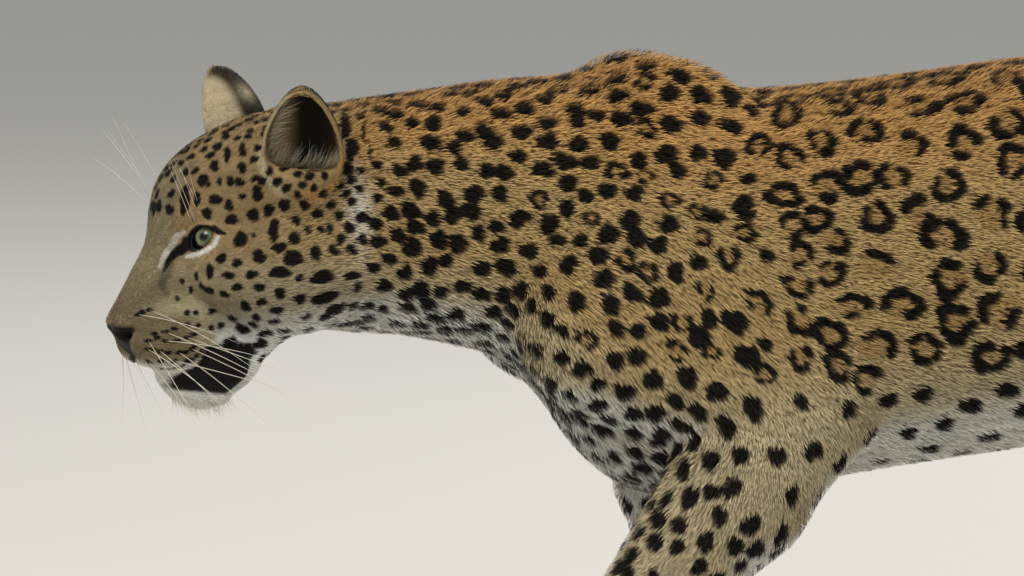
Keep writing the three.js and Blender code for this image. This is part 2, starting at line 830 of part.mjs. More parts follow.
function addNode(name, solid, colour, roughness = 0.9) {
  const geometry = surfaceOf(largestBody(solid));
  const material = new THREE.MeshStandardMaterial({ color: colour, roughness });
  const mesh = new THREE.Mesh(geometry, material);
  mesh.name = name;
  group.add(mesh);
}

// Where a head node ends: everything beyond a plane square to the head's axis.
const aheadOf = (x) => solidOf(headBox([-BIG, -BIG, -BIG], [x, BIG, BIG]));
const between = (fromX, toX) => solidOf(box([fromX + half, -BIG, FLOOR], [toX - half, BIG, BIG]));

// Everything on one side of the body inside an outline, outwards of a plane that leans in
// from "top" at the elbows' height to "foot" at the paws.
function legCutter(outline, s, top, foot, grow) {
  const made = s > 0 ? prism(outline, 0, LEG_SPAN) : prism(outline, -LEG_SPAN, 0);
  const lean = Math.atan2(top - foot, FORELEG_TOP - FOREPAW_TOP);
  const outside = s > 0 ? box([-BIG, 0, -BIG], [BIG, BIG, BIG]) : box([-BIG, -BIG, -BIG], [BIG, 0, BIG]);
  outside.rotateX(-s * lean);
  outside.translate(0, s * (top - grow), FORELEG_TOP);
  return solidOf(made).intersect(solidOf(outside));
}

// An outline moved outwards by a small amount, up and to both ends.
function grown(outline, by) {
  const middle = outline.reduce((sum, p) => sum + p[0], 0) / outline.length;
  return outline.map(([x, z], i) => {
    const sideways = x > middle ? by : -by;
    return [x + sideways, z + (i < 2 ? -by - 40 : by * 1.1)];
  });
}

const eyeSockets = [LEFT, RIGHT].map((s) => solidOf(eyeball(s, EYE.radius + SOCKET_GAP, 10)));
const eyeOpenings = [LEFT, RIGHT].map(eyeOpening);
const earCups = [LEFT, RIGHT].map((s) =>
  earOval(s, EAR.wall, EAR_CUP_SHIFT).intersect(behindRim(s, EAR_CARVE, EAR_FLOOR)),
);

// Face: muzzle, jaws, brow and eyes.
let face = flesh([-215, -96, 284], [FACE_CUT, 96, 496], 11.4, true);
face = face.intersect(aheadOf(FACE_CUT - half));
for (const cut of [...eyeSockets, ...eyeOpenings, ...earCups, mouthGroove()]) {
  face = face.subtract(cut);
}
for (const s of [LEFT, RIGHT]) {
  face = face.subtract(headTube(NOSTRIL, s, 8));
}
face = face.subtract(headTube(PHILTRUM, LEFT, 6));
addNode("face", face, COAT);

// Skull: cheeks, crown and the roots of the ears.
const skullLow = [FACE_CUT, -100, 330];
const skullHigh = [SKULL_CUT, 100, 545];
const skullCell = 13;
let skull = flesh(skullLow, skullHigh, skullCell, true);
skull = skull.intersect(aheadOf(SKULL_CUT - half)).subtract(aheadOf(FACE_CUT + half));
for (const cut of earCups) {
  skull = skull.subtract(cut);
}
addNode("skull", skull, COAT);

const headRoom = flesh(skullLow, skullHigh, skullCell, true, EAR_GAP);
for (const s of [LEFT, RIGHT]) {
  addNode(s === LEFT ? "left_ear" : "right_ear", earBowl(s).subtract(headRoom), COAT);
  const ball = solidOf(eyeball(s, EYE.radius, 8));
  addNode(s === LEFT ? "left_eye" : "right_eye", ball, IRIS, 0.15);
}

// Neck and trunk.
let neck = flesh([-280, -110, 320], [NECK_CUT, 100, 560], 20);
neck = neck.intersect(between(-BIG, NECK_CUT)).subtract(aheadOf(SKULL_CUT + half));
addNode("neck", neck, COAT);

const forelegCutters = FORELEGS.map((leg) =>
  legCutter(
    grown(FORELEG_OUTLINE, half),
    leg.side,
    FORELEG_INNER_TOP,
    FORELEG_INNER_FOOT,
    half,
  ),
);
const hindlegCutters = [LEFT, RIGHT].map((s) =>
  legCutter(grown(HINDLEG_OUTLINE, half), s, HINDLEG_INNER, HINDLEG_INNER, half),
);

let chest = flesh([NECK_CUT, -130, 205], [BELLY_FRONT_CUT, 130, 580], 28);
chest = chest.intersect(between(NECK_CUT, BELLY_FRONT_CUT));
for (const cut of forelegCutters) {
  chest = chest.subtract(cut);
}
addNode("chest", chest, COAT);

const belly = flesh([BELLY_FRONT_CUT, -125, 225], [BELLY_REAR_CUT, 125, 582], 33);
addNode("belly", belly.intersect(between(BELLY_FRONT_CUT, BELLY_REAR_CUT)), PALE);

let rump = flesh([BELLY_REAR_CUT, -125, 250], [TAIL_CUTS[0], 125, 582], 25);
rump = rump.intersect(between(BELLY_REAR_CUT, TAIL_CUTS[0]));
for (const cut of hindlegCutters) {
  rump = rump.subtract(cut);
}
addNode("rump", rump, COAT);

// Legs: each leg below the trunk, and its paw.
const sideName = (s) => (s === LEFT ? "left" : "right");
const sideLow = (s, inner) => (s === LEFT ? -140 : inner);
const sideHigh = (s, inner) => (s === LEFT ? -inner : 140);

function addPaw(name, s, fromX, toX, top, cell) {
  const low = [fromX, sideLow(s, 8), -4];
  const high = [toX, sideHigh(s, 8), top];
  const trim = box([fromX - 40, sideLow(s, 4), FLOOR], [toX + 40, sideHigh(s, 4), top - half]);
  addNode(name, flesh(low, high, cell).intersect(solidOf(trim)), PALE);
}

FORELEGS.forEach((leg) => {
  const s = leg.side;
  const name = sideName(s);
  const x = leg.paw[0];
  const lower = flesh([-90, sideLow(s, 14), FOREPAW_TOP], [172, sideHigh(s, 14), FORELEG_TOP], 17.5);
  const outline = FORELEG_OUTLINE.map(([u, v], i) => [u, v + (i < 2 ? half : -half)]);
  const inner = [FORELEG_INNER_TOP, FORELEG_INNER_FOOT];
  const trimmed = lower.intersect(legCutter(outline, s, ...inner, -half));
  addNode(`${name}_foreleg`, trimmed, COAT);
  addPaw(`${name}_forepaw`, s, x - 66, x + 56, FOREPAW_TOP, 11.8);
});

HINDLEGS.forEach((leg) => {
  const s = leg.side;
  const name = sideName(s);
  const x = leg.ball[0];
  const rear = Math.max(leg.hock[0], leg.knee[0] + 140) + 40;
  const lower = flesh(
    [leg.knee[0] - 50, sideLow(s, 14), HINDPAW_TOP],
    [rear, sideHigh(s, 14), 350],
    18,
  );
  const outline = HINDLEG_OUTLINE.map(([u, v], i) => [u, v + (i < 2 ? half : -half * 1.1)]);
  const trimmed = lower.intersect(legCutter(outline, s, HINDLEG_INNER, HINDLEG_INNER, -half));
  addNode(`${name}_hindleg`, trimmed, COAT);
  addPaw(`${name}_hindpaw`, s, x - 76, x + 32, HINDPAW_TOP, 11.8);
});

// Tail in three lengths.
const tail = tube(smoothLine(TAIL_STATIONS, 2), TAIL_SIDES);
const tailEnds = [...TAIL_CUTS, BIG];
["tail_root", "tail_middle", "tail_tip"].forEach((name, i) => {
  addNode(name, tail.intersect(between(tailEnds[i], tailEnds[i + 1])), COAT);
});

// The part's own origin: the middle of its floor rectangle.
const whole = new THREE.Box3().setFromObject(group);
const middle = whole.getCenter(new THREE.Vector3());
for (const mesh of group.children) {
  mesh.geometry.translate(-middle.x, -middle.y, 0);
}

export default group;
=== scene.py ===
"""Leopard in a low walk: a still, life-size animal in short spotted fur.

The flesh is a field of named forms in millimetres, the same that the solids are made from.
The skin lies inside the solids by the depth of the coat, and the tufts reach out to them.
"""
import logging
import math
from dataclasses import dataclass
from enum import Enum
from typing import Callable, Iterable, Sequence

import bpy
import numpy as np
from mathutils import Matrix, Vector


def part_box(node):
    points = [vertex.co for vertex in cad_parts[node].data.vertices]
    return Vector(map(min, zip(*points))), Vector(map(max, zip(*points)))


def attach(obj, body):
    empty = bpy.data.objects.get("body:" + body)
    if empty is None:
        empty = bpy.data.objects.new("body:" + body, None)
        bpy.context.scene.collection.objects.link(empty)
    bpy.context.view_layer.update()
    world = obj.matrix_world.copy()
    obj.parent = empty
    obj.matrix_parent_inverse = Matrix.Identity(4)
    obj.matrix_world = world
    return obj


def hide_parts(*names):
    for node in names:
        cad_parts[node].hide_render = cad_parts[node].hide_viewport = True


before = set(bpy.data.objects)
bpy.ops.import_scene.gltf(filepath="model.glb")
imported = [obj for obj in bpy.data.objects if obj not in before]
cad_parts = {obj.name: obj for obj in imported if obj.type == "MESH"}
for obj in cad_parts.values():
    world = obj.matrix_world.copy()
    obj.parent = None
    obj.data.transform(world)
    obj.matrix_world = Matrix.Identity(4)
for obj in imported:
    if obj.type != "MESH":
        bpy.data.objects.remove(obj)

import openvdb
from mathutils import Vector
from mathutils.kdtree import KDTree

logging.basicConfig(level=logging.INFO, format="%(message)s")
log = logging.getLogger("leopard")

Array = np.ndarray
Vec = tuple[float, float, float]

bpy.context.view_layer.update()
MM = 0.001
LEFT, RIGHT = -1, 1
SIDE_NAMES = {LEFT: "left", RIGHT: "right"}
SEED = 29

# The head is turned a little to the left about a point at the nape.
NAPE = (-250.0, -4.0)
HEAD_DEG = 18.0
HEAD_COS = math.cos(math.radians(HEAD_DEG))
HEAD_SIN = math.sin(math.radians(HEAD_DEG))
# The hair of head and neck runs away from this place on the nose, in the head's own frame.
HAIR_START = (-212.0, 0.0, 366.0)

# Trunk sections: x, top, bottom, height of the widest place, half width, sideways shift.
TRUNK_SECTIONS = (
    (-300, 524, 356, 442, 62, -14), (-250, 535, 350, 438, 76, -8),
    (-204, 541, 346, 438, 82, -4), (-164, 546, 338, 436, 86, -1),
    (-124, 551, 325, 428, 90, 0), (-92, 553, 296, 415, 93, 0),
    (-64, 555, 256, 400, 96, 0), (-30, 553, 226, 388, 98, 0),
    (10, 550, 214, 380, 101, 0), (72, 543, 216, 376, 107, 0),
    (130, 546, 227, 378, 112, 0), (196, 553, 238, 380, 114, 0),
    (295, 566, 252, 388, 112, 0), (370, 573, 264, 398, 105, 0),
    (440, 576, 282, 416, 95, 0), (510, 571, 312, 436, 84, 0),
    (575, 557, 350, 450, 70, 0), (630, 534, 398, 466, 52, 0),
    (672, 512, 450, 482, 32, 0),
)
TRUNK_FULLNESS = 2.25

# Eyes, in the head's own frame (before it is turned).
EYE = (-128.0, 33.0, 431.0)
EYE_RADIUS = 14.0
LID = 2.5
GAZE = {LEFT: (-0.70, -0.72, 0.17), RIGHT: (-0.95, 0.30, 0.0)}
EYE_INNER_CORNER = (-143.0, 30.0, 423.0)
EYE_OUTER_CORNER = (-128.0, 46.0, 439.0)

# Ears: a bowl of even wall, cut off at its rim.
EAR_PLACES = {LEFT: (-65.0, -72.0, 509.0), RIGHT: (-69.0, 72.0, 514.0)}
EAR_RADII = (46.0, 28.0, 32.0)
EAR_TAPER = 0.26
EAR_UP = (-0.16, 0.36, 0.92)
EAR_FACING = (-0.47, 0.87, -0.05)
EAR_FLOOR = 25.0

LIP_LINE = (
    (-184, 0, 331), (-180, 12, 326), (-169, 24, 322), (-158, 29, 326),
    (-148, 33, 334), (-138, 37, 342), (-114, 43, 346), (-93, 48, 343),
)
NOSTRIL = ((-199, 8, 353, 4.2), (-192, 13, 354, 3.6), (-182, 19, 358, 1.8))
PHILTRUM = ((-197, 0, 346, 1.6), (-186, 0, 333, 1.6))

# Tail line: x, y, z and radius.
TAIL_STATIONS = (
    (610, 0, 500, 44), (664, 0, 500, 33), (716, 2, 474, 28.5), (760, 4, 418, 26.5),
    (806, 6, 338, 25), (852, 8, 258, 24), (905, 8, 188, 23), (975, 4, 146, 22),
    (1050, -4, 140, 21), (1118, -12, 172, 20), (1160, -16, 226, 18), (1176, -18, 262, 14),
)

# Depth of the coat over the skin, by place.
COAT_ALONG_HEAD = ((-215, -150, -90, -20, 60), (0.9, 1.1, 2.6, 5.0, 6.0))
COAT_BY_HEIGHT = ((0, 60, 120, 250, 330), (2.0, 2.4, 3.6, 4.6, 6.0))
EAR_COAT = 0.7
EYE_COAT = 0.5
# The coat is thin within the first distance of an ear's or eye's middle, and full past the second.
EAR_THIN = (34, 52)
EYE_THIN = (17, 32)
# A lattice with more places than this is thinned only in a box round each ear and eye.
LARGE_LATTICE = 4_000_000


def smoothstep(low: float, high: float, v: Array) -> Array:
    """A soft step from 0 at low to 1 at high."""
    t = np.clip((v - low) / (high - low), 0.0, 1.0)
    return t * t * (3.0 - 2.0 * t)


def unit(v: Array) -> Array:
    """Vectors of length one."""
    v = np.asarray(v, float)
    return v / np.maximum(np.linalg.norm(v, axis=-1, keepdims=True), 1e-9)


def from_head(p: Sequence) -> Array:
    """Places in the head's own frame, in the body's frame."""
    p = np.asarray(p, float)
    x, y, z = p[..., 0], p[..., 1], p[..., 2]
    return np.stack(
        [NAPE[0] + x * HEAD_COS - y * HEAD_SIN, NAPE[1] + x * HEAD_SIN + y * HEAD_COS, z], -1
    )


def to_head(p: Array) -> Array:
    """Places in the body's frame, in the head's own frame."""
    x, y = p[..., 0] - NAPE[0], p[..., 1] - NAPE[1]
    return np.stack([x * HEAD_COS + y * HEAD_SIN, -x * HEAD_SIN + y * HEAD_COS, p[..., 2]], -1)


def head_vector(v: Sequence) -> Array:
    """A direction in the head's own frame, in the body's frame."""
    return from_head(v) - from_head((0, 0, 0))


def smooth_line(stations: Sequence, steps: int) -> Array:
    """Points along a smooth line through stations of any number of values.

    Args:
        stations: The values at each station.
        steps: Points from one station to the next.

    Returns:
        The points, one row each.
    """
    rows = np.asarray(stations, float)
    line = []
    for i in range(len(rows) - 1):
        p0, p1 = rows[max(i - 1, 0)], rows[i]
        p2, p3 = rows[i + 1], rows[min(i + 2, len(rows) - 1)]
        for t in np.arange(steps) / steps:
            line.append(
                0.5
                * (
                    2 * p1
                    + (p2 - p0) * t
                    + (2 * p0 - 5 * p1 + 4 * p2 - p3) * t * t
                    + (3 * p1 - p0 - 3 * p2 + p3) * t**3
                )
            )
    line.append(rows[-1])
    return np.array(line)


# Forms


@dataclass(frozen=True, kw_only=True)
class Form:
    """One form of the body's field.

    Its seam is the width over which it melts into its neighbours, and its lie is the way
    that its hair points, or None where the hair runs away from the nose.
    """

    seam: float
    lie: Vec | None = None
    carves: bool = False

    def box(self) -> tuple[Array, Array]:
        """Lowest and highest corners."""
        raise NotImplementedError

    def distance(self, x: Array, y: Array, z: Array) -> Array:
        """Distance to the form's surface, below zero inside."""
        raise NotImplementedError

    def lay(self, p: Array) -> Array:
        """The way that hair points at each place."""
        if self.lie is None:
            return unit(p - from_head(HAIR_START))
        return np.broadcast_to(unit(self.lie), p.shape)

    def mix(self, d: Array, other: Array) -> Array:
        """This form's distance joined to, or carved from, the distance so far."""
        base = -d if self.carves else d
        h = np.clip(0.5 + 0.5 * (other - base) / self.seam, 0.0, 1.0)
        joined = other + (base - other) * h - self.seam * h * (1.0 - h)
        return -joined if self.carves else joined


@dataclass(frozen=True, kw_only=True)
class Limb(Form):
    """A cone with round ends, squeezed from side to side."""

    start: Vec
    end: Vec
    start_radius: float
    end_radius: float
    squeeze: float = 1.0

    def box(self) -> tuple[Array, Array]:
        """Lowest and highest corners."""
        most = max(self.start_radius, self.end_radius)
        both = np.array([self.start, self.end], float)
        return both.min(0) - most, both.max(0) + most

    def lay(self, p: Array) -> Array:
        """The way that hair points: along the limb unless its lie is given."""
        along = unit(np.subtract(self.end, self.start)) if self.lie is None else unit(self.lie)
        return np.broadcast_to(along, p.shape)

    def distance(self, x: Array, y: Array, z: Array) -> Array:
        """Distance to the form's surface, below zero inside."""
        q = self.squeeze
        ax, ay, az = self.start[0], self.start[1] / q, self.start[2]
        bx, by, bz = self.end[0] - ax, self.end[1] / q - ay, self.end[2] - az
        length2 = bx * bx + by * by + bz * bz
        taper = self.start_radius - self.end_radius
        slope2 = length2 - taper * taper
        px, py, pz = x - ax, y / q - ay, z - az
        t = px * bx + py * by + pz * bz
        u = t - length2
        side2 = (px * length2 - t * bx) ** 2 + (py * length2 - t * by) ** 2
        side2 = side2 + (pz * length2 - t * bz) ** 2
        k = math.copysign(taper * taper, taper) * side2
        far = np.sqrt(side2 + u * u * length2) / length2 - self.end_radius
        near = np.sqrt(side2 + t * t * length2) / length2 - self.start_radius
        wall = (np.sqrt(side2 * (slope2 / length2)) + t * taper) / length2 - self.start_radius
        past_end = np.sign(u) * slope2 * u * u * length2 > k
        before = np.sign(t) * slope2 * t * t * length2 < k
        return np.where(past_end, far, np.where(before, near, wall))


@dataclass(frozen=True, kw_only=True)
class Egg(Form):
    """An ellipsoid whose radii lie along the rows of its axes."""

    at: Vec
    radii: Vec
    axes: tuple[Vec, Vec, Vec]
    taper: float = 0.0

    def box(self) -> tuple[Array, Array]:
        """Lowest and highest corners."""
        reach = np.sqrt(((np.array(self.axes).T * np.array(self.radii)) ** 2).sum(1))
        return np.array(self.at) - reach, np.array(self.at) + reach

    def local(self, x: Array, y: Array, z: Array) -> tuple[Array, Array, Array]:
        """A place measured along the three axes from the middle."""
        px, py, pz = x - self.at[0], y - self.at[1], z - self.at[2]
        a, b, c = (px * a[0] + py * a[1] + pz * a[2] for a in self.axes)
        if self.taper:
            c = c / (1 - self.taper * np.clip(a / self.radii[0], -1, 1))
        return a, b, c

    def distance(self, x: Array, y: Array, z: Array) -> Array:
        """Distance to the form's surface, below zero inside."""
        q = [v / r for v, r in zip(self.local(x, y, z), self.radii)]
        k0 = np.sqrt(sum(v * v for v in q))
        k1 = np.sqrt(sum((v / r) ** 2 for v, r in zip(q, self.radii)))
        return k0 * (k0 - 1.0) / np.maximum(k1, 1e-9)


@dataclass(frozen=True, kw_only=True)
class Trunk(Form):
    """The trunk: egg-shaped sections along x."""

    rows: tuple

    def box(self) -> tuple[Array, Array]:
        """Lowest and highest corners."""
        r = np.array(self.rows, float)
        return (
            np.array([r[0, 0], -r[:, 4].max(), r[:, 2].min()]),
            np.array([r[-1, 0], r[:, 4].max(), r[:, 1].max()]),
        )

    def section(self, x: Array) -> list[Array]:
        """Top, bottom, middle height, half width and shift at each x.

        Args:
            x: Places along the trunk.

        Returns:
            The five values, each in the shape of x.
        """
        r = np.array(self.rows, float)
        h = np.diff(r[:, 0])[:, None]
        s = np.diff(r[:, 1:], axis=0) / h
        m = np.empty((len(r), s.shape[1]))
        m[0], m[-1] = s[0], s[-1]
        m[1:-1] = (s[:-1] * h[1:] + s[1:] * h[:-1]) / (h[:-1] + h[1:])
        at = np.clip(x, r[0, 0], r[-1, 0])
        i = np.clip(np.searchsorted(r[:, 0], at, side="right") - 1, 0, len(r) - 2)
        step = r[i + 1, 0] - r[i, 0]
        u = (at - r[i, 0]) / step
        w = ((1 + 2 * u) * (1 - u) ** 2, u * (1 - u) ** 2 * step)
        v = (u * u * (3 - 2 * u), u * u * (u - 1) * step)
        return [
            w[0] * r[i, c] + w[1] * m[i, c - 1] + v[0] * r[i + 1, c] + v[1] * m[i + 1, c - 1]
            for c in range(1, 6)
        ]

    def distance(self, x: Array, y: Array, z: Array) -> Array:
        """Distance to the form's surface, below zero inside."""
        top, bottom, middle, half, shift = self.section(x)
        dz, dy = z - middle, y - shift
        tall = np.where(dz > 0, top - middle, middle - bottom)
        f = (np.abs(dy / half) ** TRUNK_FULLNESS + np.abs(dz / tall) ** TRUNK_FULLNESS) ** (
            1 / TRUNK_FULLNESS
        )
        r = np.sqrt(dy * dy + dz * dz)
        inside = np.where(f < 1e-3, -np.minimum(half, tall), r - r / np.maximum(f, 1e-3))
        past = np.maximum(self.rows[0][0] - x, x - self.rows[-1][0])
        return np.where(past > 0, np.sqrt(np.maximum(inside, 0) ** 2 + past * past), inside)


@dataclass(frozen=True, kw_only=True)
class Cord(Form):
    """A round cord along a line of x, y, z, radius."""

    line: tuple

    def box(self) -> tuple[Array, Array]:
        """Lowest and highest corners."""
        r = np.array(self.line)
        return (r[:, :3] - r[:, 3:]).min(0), (r[:, :3] + r[:, 3:]).max(0)

    def lay(self, p: Array) -> Array:
        """The way that hair points: along the cord."""
        r = np.array(self.line)[:, :3]
        middles, ahead = (r[1:] + r[:-1]) / 2, unit(r[1:] - r[:-1])
        away = ((p[:, None] - middles[None]) ** 2).sum(-1)
        share = np.exp(-(away - away.min(1, keepdims=True)) / 800.0)
        return unit(share @ ahead)

    def distance(self, x: Array, y: Array, z: Array) -> Array:
        """Distance to the form's surface, below zero inside."""
        least = np.full(np.broadcast(x, y, z).shape, 1e3, np.float32)
        for a, b in zip(self.line[:-1], self.line[1:]):
            bx, by, bz = b[0] - a[0], b[1] - a[1], b[2] - a[2]
            px, py, pz = x - a[0], y - a[1], z - a[2]
            t = np.clip((px * bx + py * by + pz * bz) / (bx * bx + by * by + bz * bz), 0, 1)
            away = np.sqrt((px - t * bx) ** 2 + (py - t * by) ** 2 + (pz - t * bz) ** 2)
            least = np.minimum(least, away - a[3] - t * (b[3] - a[3]))
        return least


@dataclass(frozen=True, kw_only=True)
class EarBowl(Form):
    """The bowl of an ear: between two eggs, behind the plane of its rim."""

    outer: Egg
    inner: Egg
    rim: float

    def box(self) -> tuple[Array, Array]:
        """Lowest and highest corners."""
        return self.outer.box()

    def lay(self, p: Array) -> Array:
        """The way that hair points: up the ear and away from its middle."""
        up, across = np.array(self.outer.axes[0]), np.array(self.outer.axes[2])
        side = ((p - np.array(self.outer.at)) @ across)[:, None] / self.outer.radii[2]
        return unit(up + 0.5 * side * across)

    def distance(self, x: Array, y: Array, z: Array) -> Array:
        """Distance to the form's surface, below zero inside."""
        ahead = self.outer.local(x, y, z)[1] - self.rim
        wall = soft_max(self.outer.distance(x, y, z), -self.inner.distance(x, y, z), 1.0)
        return soft_max(wall, ahead, 2.0)


@dataclass(frozen=True, kw_only=True)
class EarCup(Form):
    """The hollow of an ear, up to a plane in front of its rim and down to a floor."""

    inner: Egg
    front: float
    floor: float

    def box(self) -> tuple[Array, Array]:
        """Lowest and highest corners."""
        return self.inner.box()

    def distance(self, x: Array, y: Array, z: Array) -> Array:
        """Distance to the form's surface, below zero inside."""
        high, ahead, _ = self.inner.local(x, y, z)
        cup = soft_max(self.inner.distance(x, y, z), ahead - self.front, 6.0)
        return soft_max(cup, -high - self.floor, 9.0)


@dataclass(frozen=True, kw_only=True)
class Almond(Form):
    """The opening between the lids: two arcs that meet at the corners."""

    at: Vec
    axes: tuple[Vec, Vec, Vec]
    half_length: float
    upper: float
    lower: float
    depth: float = 12.0

    def box(self) -> tuple[Array, Array]:
        """Lowest and highest corners."""
        return np.array(self.at) - 20.0, np.array(self.at) + 20.0

    def arcs(self) -> tuple[tuple[float, float], tuple[float, float]]:
        """Radius of each arc and the height of its centre."""
        made = []
        for rise, way in ((self.upper, 1), (self.lower, -1)):
            r = (self.half_length**2 + rise**2) / (2 * rise)
            made.append((r, way * (rise - r)))
        return made[0], made[1]

    def edge(self, count: int) -> Array:
        """Points round the opening, in its own plane.

        Args:
            count: Points on each of the two arcs.

        Returns:
            Two columns: along the slant and up.
        """
        points = []
        for (r, low), way in zip(self.arcs(), (1, -1)):
            u = np.cos(np.linspace(0, math.pi, count, endpoint=False)) * self.half_length * way
            points.append(np.stack([u, low + way * np.sqrt(r * r - u * u)], 1))
        return np.concatenate(points)

    def distance(self, x: Array, y: Array, z: Array) -> Array:
        """Distance to the form's surface, below zero inside."""
        px, py, pz = x - self.at[0], y - self.at[1], z - self.at[2]
        u, g, v = (px * a[0] + py * a[1] + pz * a[2] for a in self.axes)
        (r0, c0), (r1, c1) = self.arcs()
        arc = np.maximum(np.sqrt(u * u + (v - c0) ** 2) - r0, np.sqrt(u * u + (v - c1) ** 2) - r1)
        return np.maximum(arc, np.abs(g) - self.depth)


def soft_max(a: Array, b: Array, seam: float) -> Array:
    """The larger of two distances, rounded where they meet."""
    h = np.clip(0.5 - 0.5 * (b - a) / seam, 0.0, 1.0)
    return b + (a - b) * h + seam * h * (1.0 - h)


def turned_axes(turn: float, pitch: float) -> tuple[Vec, Vec, Vec]:
    """Axes pitched about y and then turned about z, in degrees."""
    ct, st = math.cos(math.radians(turn)), math.sin(math.radians(turn))
    cp, sp = math.cos(math.radians(pitch)), math.sin(math.radians(pitch))
    return (ct * cp, st * cp, -sp), (-st, ct, 0.0), (ct * sp, st * sp, cp)


def egg(at: Sequence, radii: Vec, seam: float, turn: float = 0, pitch: float = 0, **more) -> Egg:
    """An egg from its pitch and turn."""
    place = tuple(float(v) for v in at)
    return Egg(at=place, radii=radii, axes=turned_axes(turn, pitch), seam=seam, **more)


def limb(a: Sequence, b: Sequence, ra: float, rb: float, seam: float, squeeze: float = 1, **more):
    """A limb from its two ends."""
    start, end = tuple(map(float, a)), tuple(map(float, b))
    return Limb(
        start=start, end=end, start_radius=ra, end_radius=rb, seam=seam, squeeze=squeeze, **more
    )


def square_axes(first: Sequence, second: Sequence) -> tuple[Array, Array, Array]:
    """Axes from a first direction and a second one near it."""
    a = unit(first)
    b = unit(np.asarray(second, float) - a * np.dot(a, second))
    return a, b, np.cross(a, b)


# The animal's forms


@dataclass(frozen=True)
class Foreleg:
    """Places and sizes of a foreleg."""

    side: int
    blade: tuple[Vec, Vec]
    withers: Vec
    shoulder: Vec
    arm: tuple[Vec, Vec]
    triceps: Vec
    triceps_radii: Vec
    triceps_pitch: float
    elbow: tuple[Vec, Vec]
    elbow_radii: tuple[float, float]
    forearm: tuple[Vec, Vec]
    forearm_radii: tuple[float, float]
    wrist: Vec
    paw: tuple[float, float]
    toe_spread: float = 22.5
    toe_radii: Vec = (28.0, 14.5, 21.0)

    def forms(self) -> list[Form]:
        """The leg from the shoulder blade to the toes."""
        s = self.side
        px, py = self.paw
        down, paw_lie = (0.62, 0.0, -0.78), (-0.8, 0.0, -0.6)

        def at(p: Vec) -> Vec:
            return p[0], s * p[1], p[2]

        made = [
            egg(at(self.withers), (62, 27, 52), 26, 0, 8, lie=(0.95, 0, -0.3)),
            limb(at(self.blade[0]), at(self.blade[1]), 36, 50, 34, 0.72, lie=(0.85, 0, -0.5)),
            egg(at(self.shoulder), (50, 37, 54), 30, lie=down),
            limb(at(self.arm[0]), at(self.arm[1]), 56, 48, 28, 0.72, lie=down),
            egg(at(self.triceps), self.triceps_radii, 28, 0, self.triceps_pitch, lie=down),
            limb(at(self.elbow[0]), at(self.elbow[1]), *self.elbow_radii, 22, 0.76, lie=(0.3, 0, -0.95)),
            limb(at(self.forearm[0]), at(self.forearm[1]), *self.forearm_radii, 14, 0.8),
            limb(at(self.wrist), (px + 12, s * py, 40), 36, 32, 14),
            egg((px + 2, s * py, 27), (42, 40, 30), 12, lie=paw_lie),
        ]
        for off in (-1.5, -0.5, 0.5, 1.5):
            toe = (px - 33 + abs(off) * 9, s * py + off * self.toe_spread, 18.5)
            made.append(egg(toe, self.toe_radii, 7, -off * 5, lie=(-0.9, 0, -0.4)))
        return made


FORELEGS = (
    Foreleg(
        LEFT, ((4, 50, 500), (-56, 80, 392)), (8, 38, 520), (-58, 74, 360),
        ((-50, 76, 348), (104, 88, 290)), (50, 80, 368), (104, 40, 74), 38,
        ((116, 86, 290), (60, 84, 226)), (48, 57), ((56, 84, 224), (-30, 72, 114)), (58, 38),
        (-34, 66, 107), (-76, 66),
    ),
    Foreleg(
        RIGHT, ((-16, 50, 500), (-84, 80, 392)), (-10, 38, 520), (-80, 72, 364),
        ((-86, 74, 362), (26, 88, 296)), (-4, 80, 374), (94, 40, 74), 42,
        ((36, 86, 292), (28, 84, 226)), (46, 52), ((28, 84, 224), (44, 70, 112)), (51, 36),
        (46, 64, 106), (8, 64),
    ),
)


@dataclass(frozen=True)
class Hindleg:
    """Places and sizes of a hind leg: x and z of its joints."""

    side: int
    hip: tuple[float, float]
    knee: tuple[float, float]
    hock: tuple[float, float]
    ball: tuple[float, float]
    tilt: float
    toe_spread: float = 19.5
    toe_radii: Vec = (26.0, 13.0, 19.5)

    def forms(self) -> list[Form]:
        """The leg from the hip to the toes."""
        s = self.side
        (hx, hz), (kx, kz), (ox, oz), (bx, bz) = self.hip, self.knee, self.hock, self.ball
        shank = (kx * 0.42 + ox * 0.58, s * 72, kz * 0.42 + oz * 0.58 + 2)
        thigh, paw_lie = (0.5, 0.0, -0.87), (-0.8, 0.0, -0.6)
        middle = ((hx + kx) / 2 + 22, s * 68, (hz + kz) / 2 + 22)
        made = [
            egg(middle, (82, 42, 122), 34, 0, self.tilt, lie=thigh),
            limb((hx - 40, s * 52, hz - 14), (kx + 6, s * 78, kz + 10), 58, 46, 34, 0.66, lie=thigh),
            limb((hx + 74, s * 46, hz - 6), (kx + 84, s * 68, kz + 20), 50, 40, 30, 0.7, lie=thigh),
            limb((kx + 14, s * 78, kz - 6), shank, 48, 33, 20, 0.76),
            limb(shank, (ox, s * 66, oz), 33, 26, 14, 0.8),
            egg((ox + 12, s * 66, oz + 10), (20, 18, 25), 14, lie=(0.2, 0, -1)),
            limb((ox + 4, s * 66, oz - 6), (bx - 4, s * 60, bz + 8), 27, 27, 12, 0.95),
            egg((bx - 14, s * 60, 25), (38, 35, 28), 12, lie=paw_lie),
        ]
        for off in (-1.5, -0.5, 0.5, 1.5):
            toe = (bx - 44 + abs(off) * 8, s * 60 + off * self.toe_spread, 17)
            made.append(egg(toe, self.toe_radii, 7, -off * 4, lie=(-0.9, 0, -0.4)))
        return made


HINDLEGS = (
    Hindleg(LEFT, (568, 440), (497, 246), (690, 142), (716, 42), 22),
    Hindleg(RIGHT, (552, 440), (446, 262), (592, 130), (534, 42), 32),
)


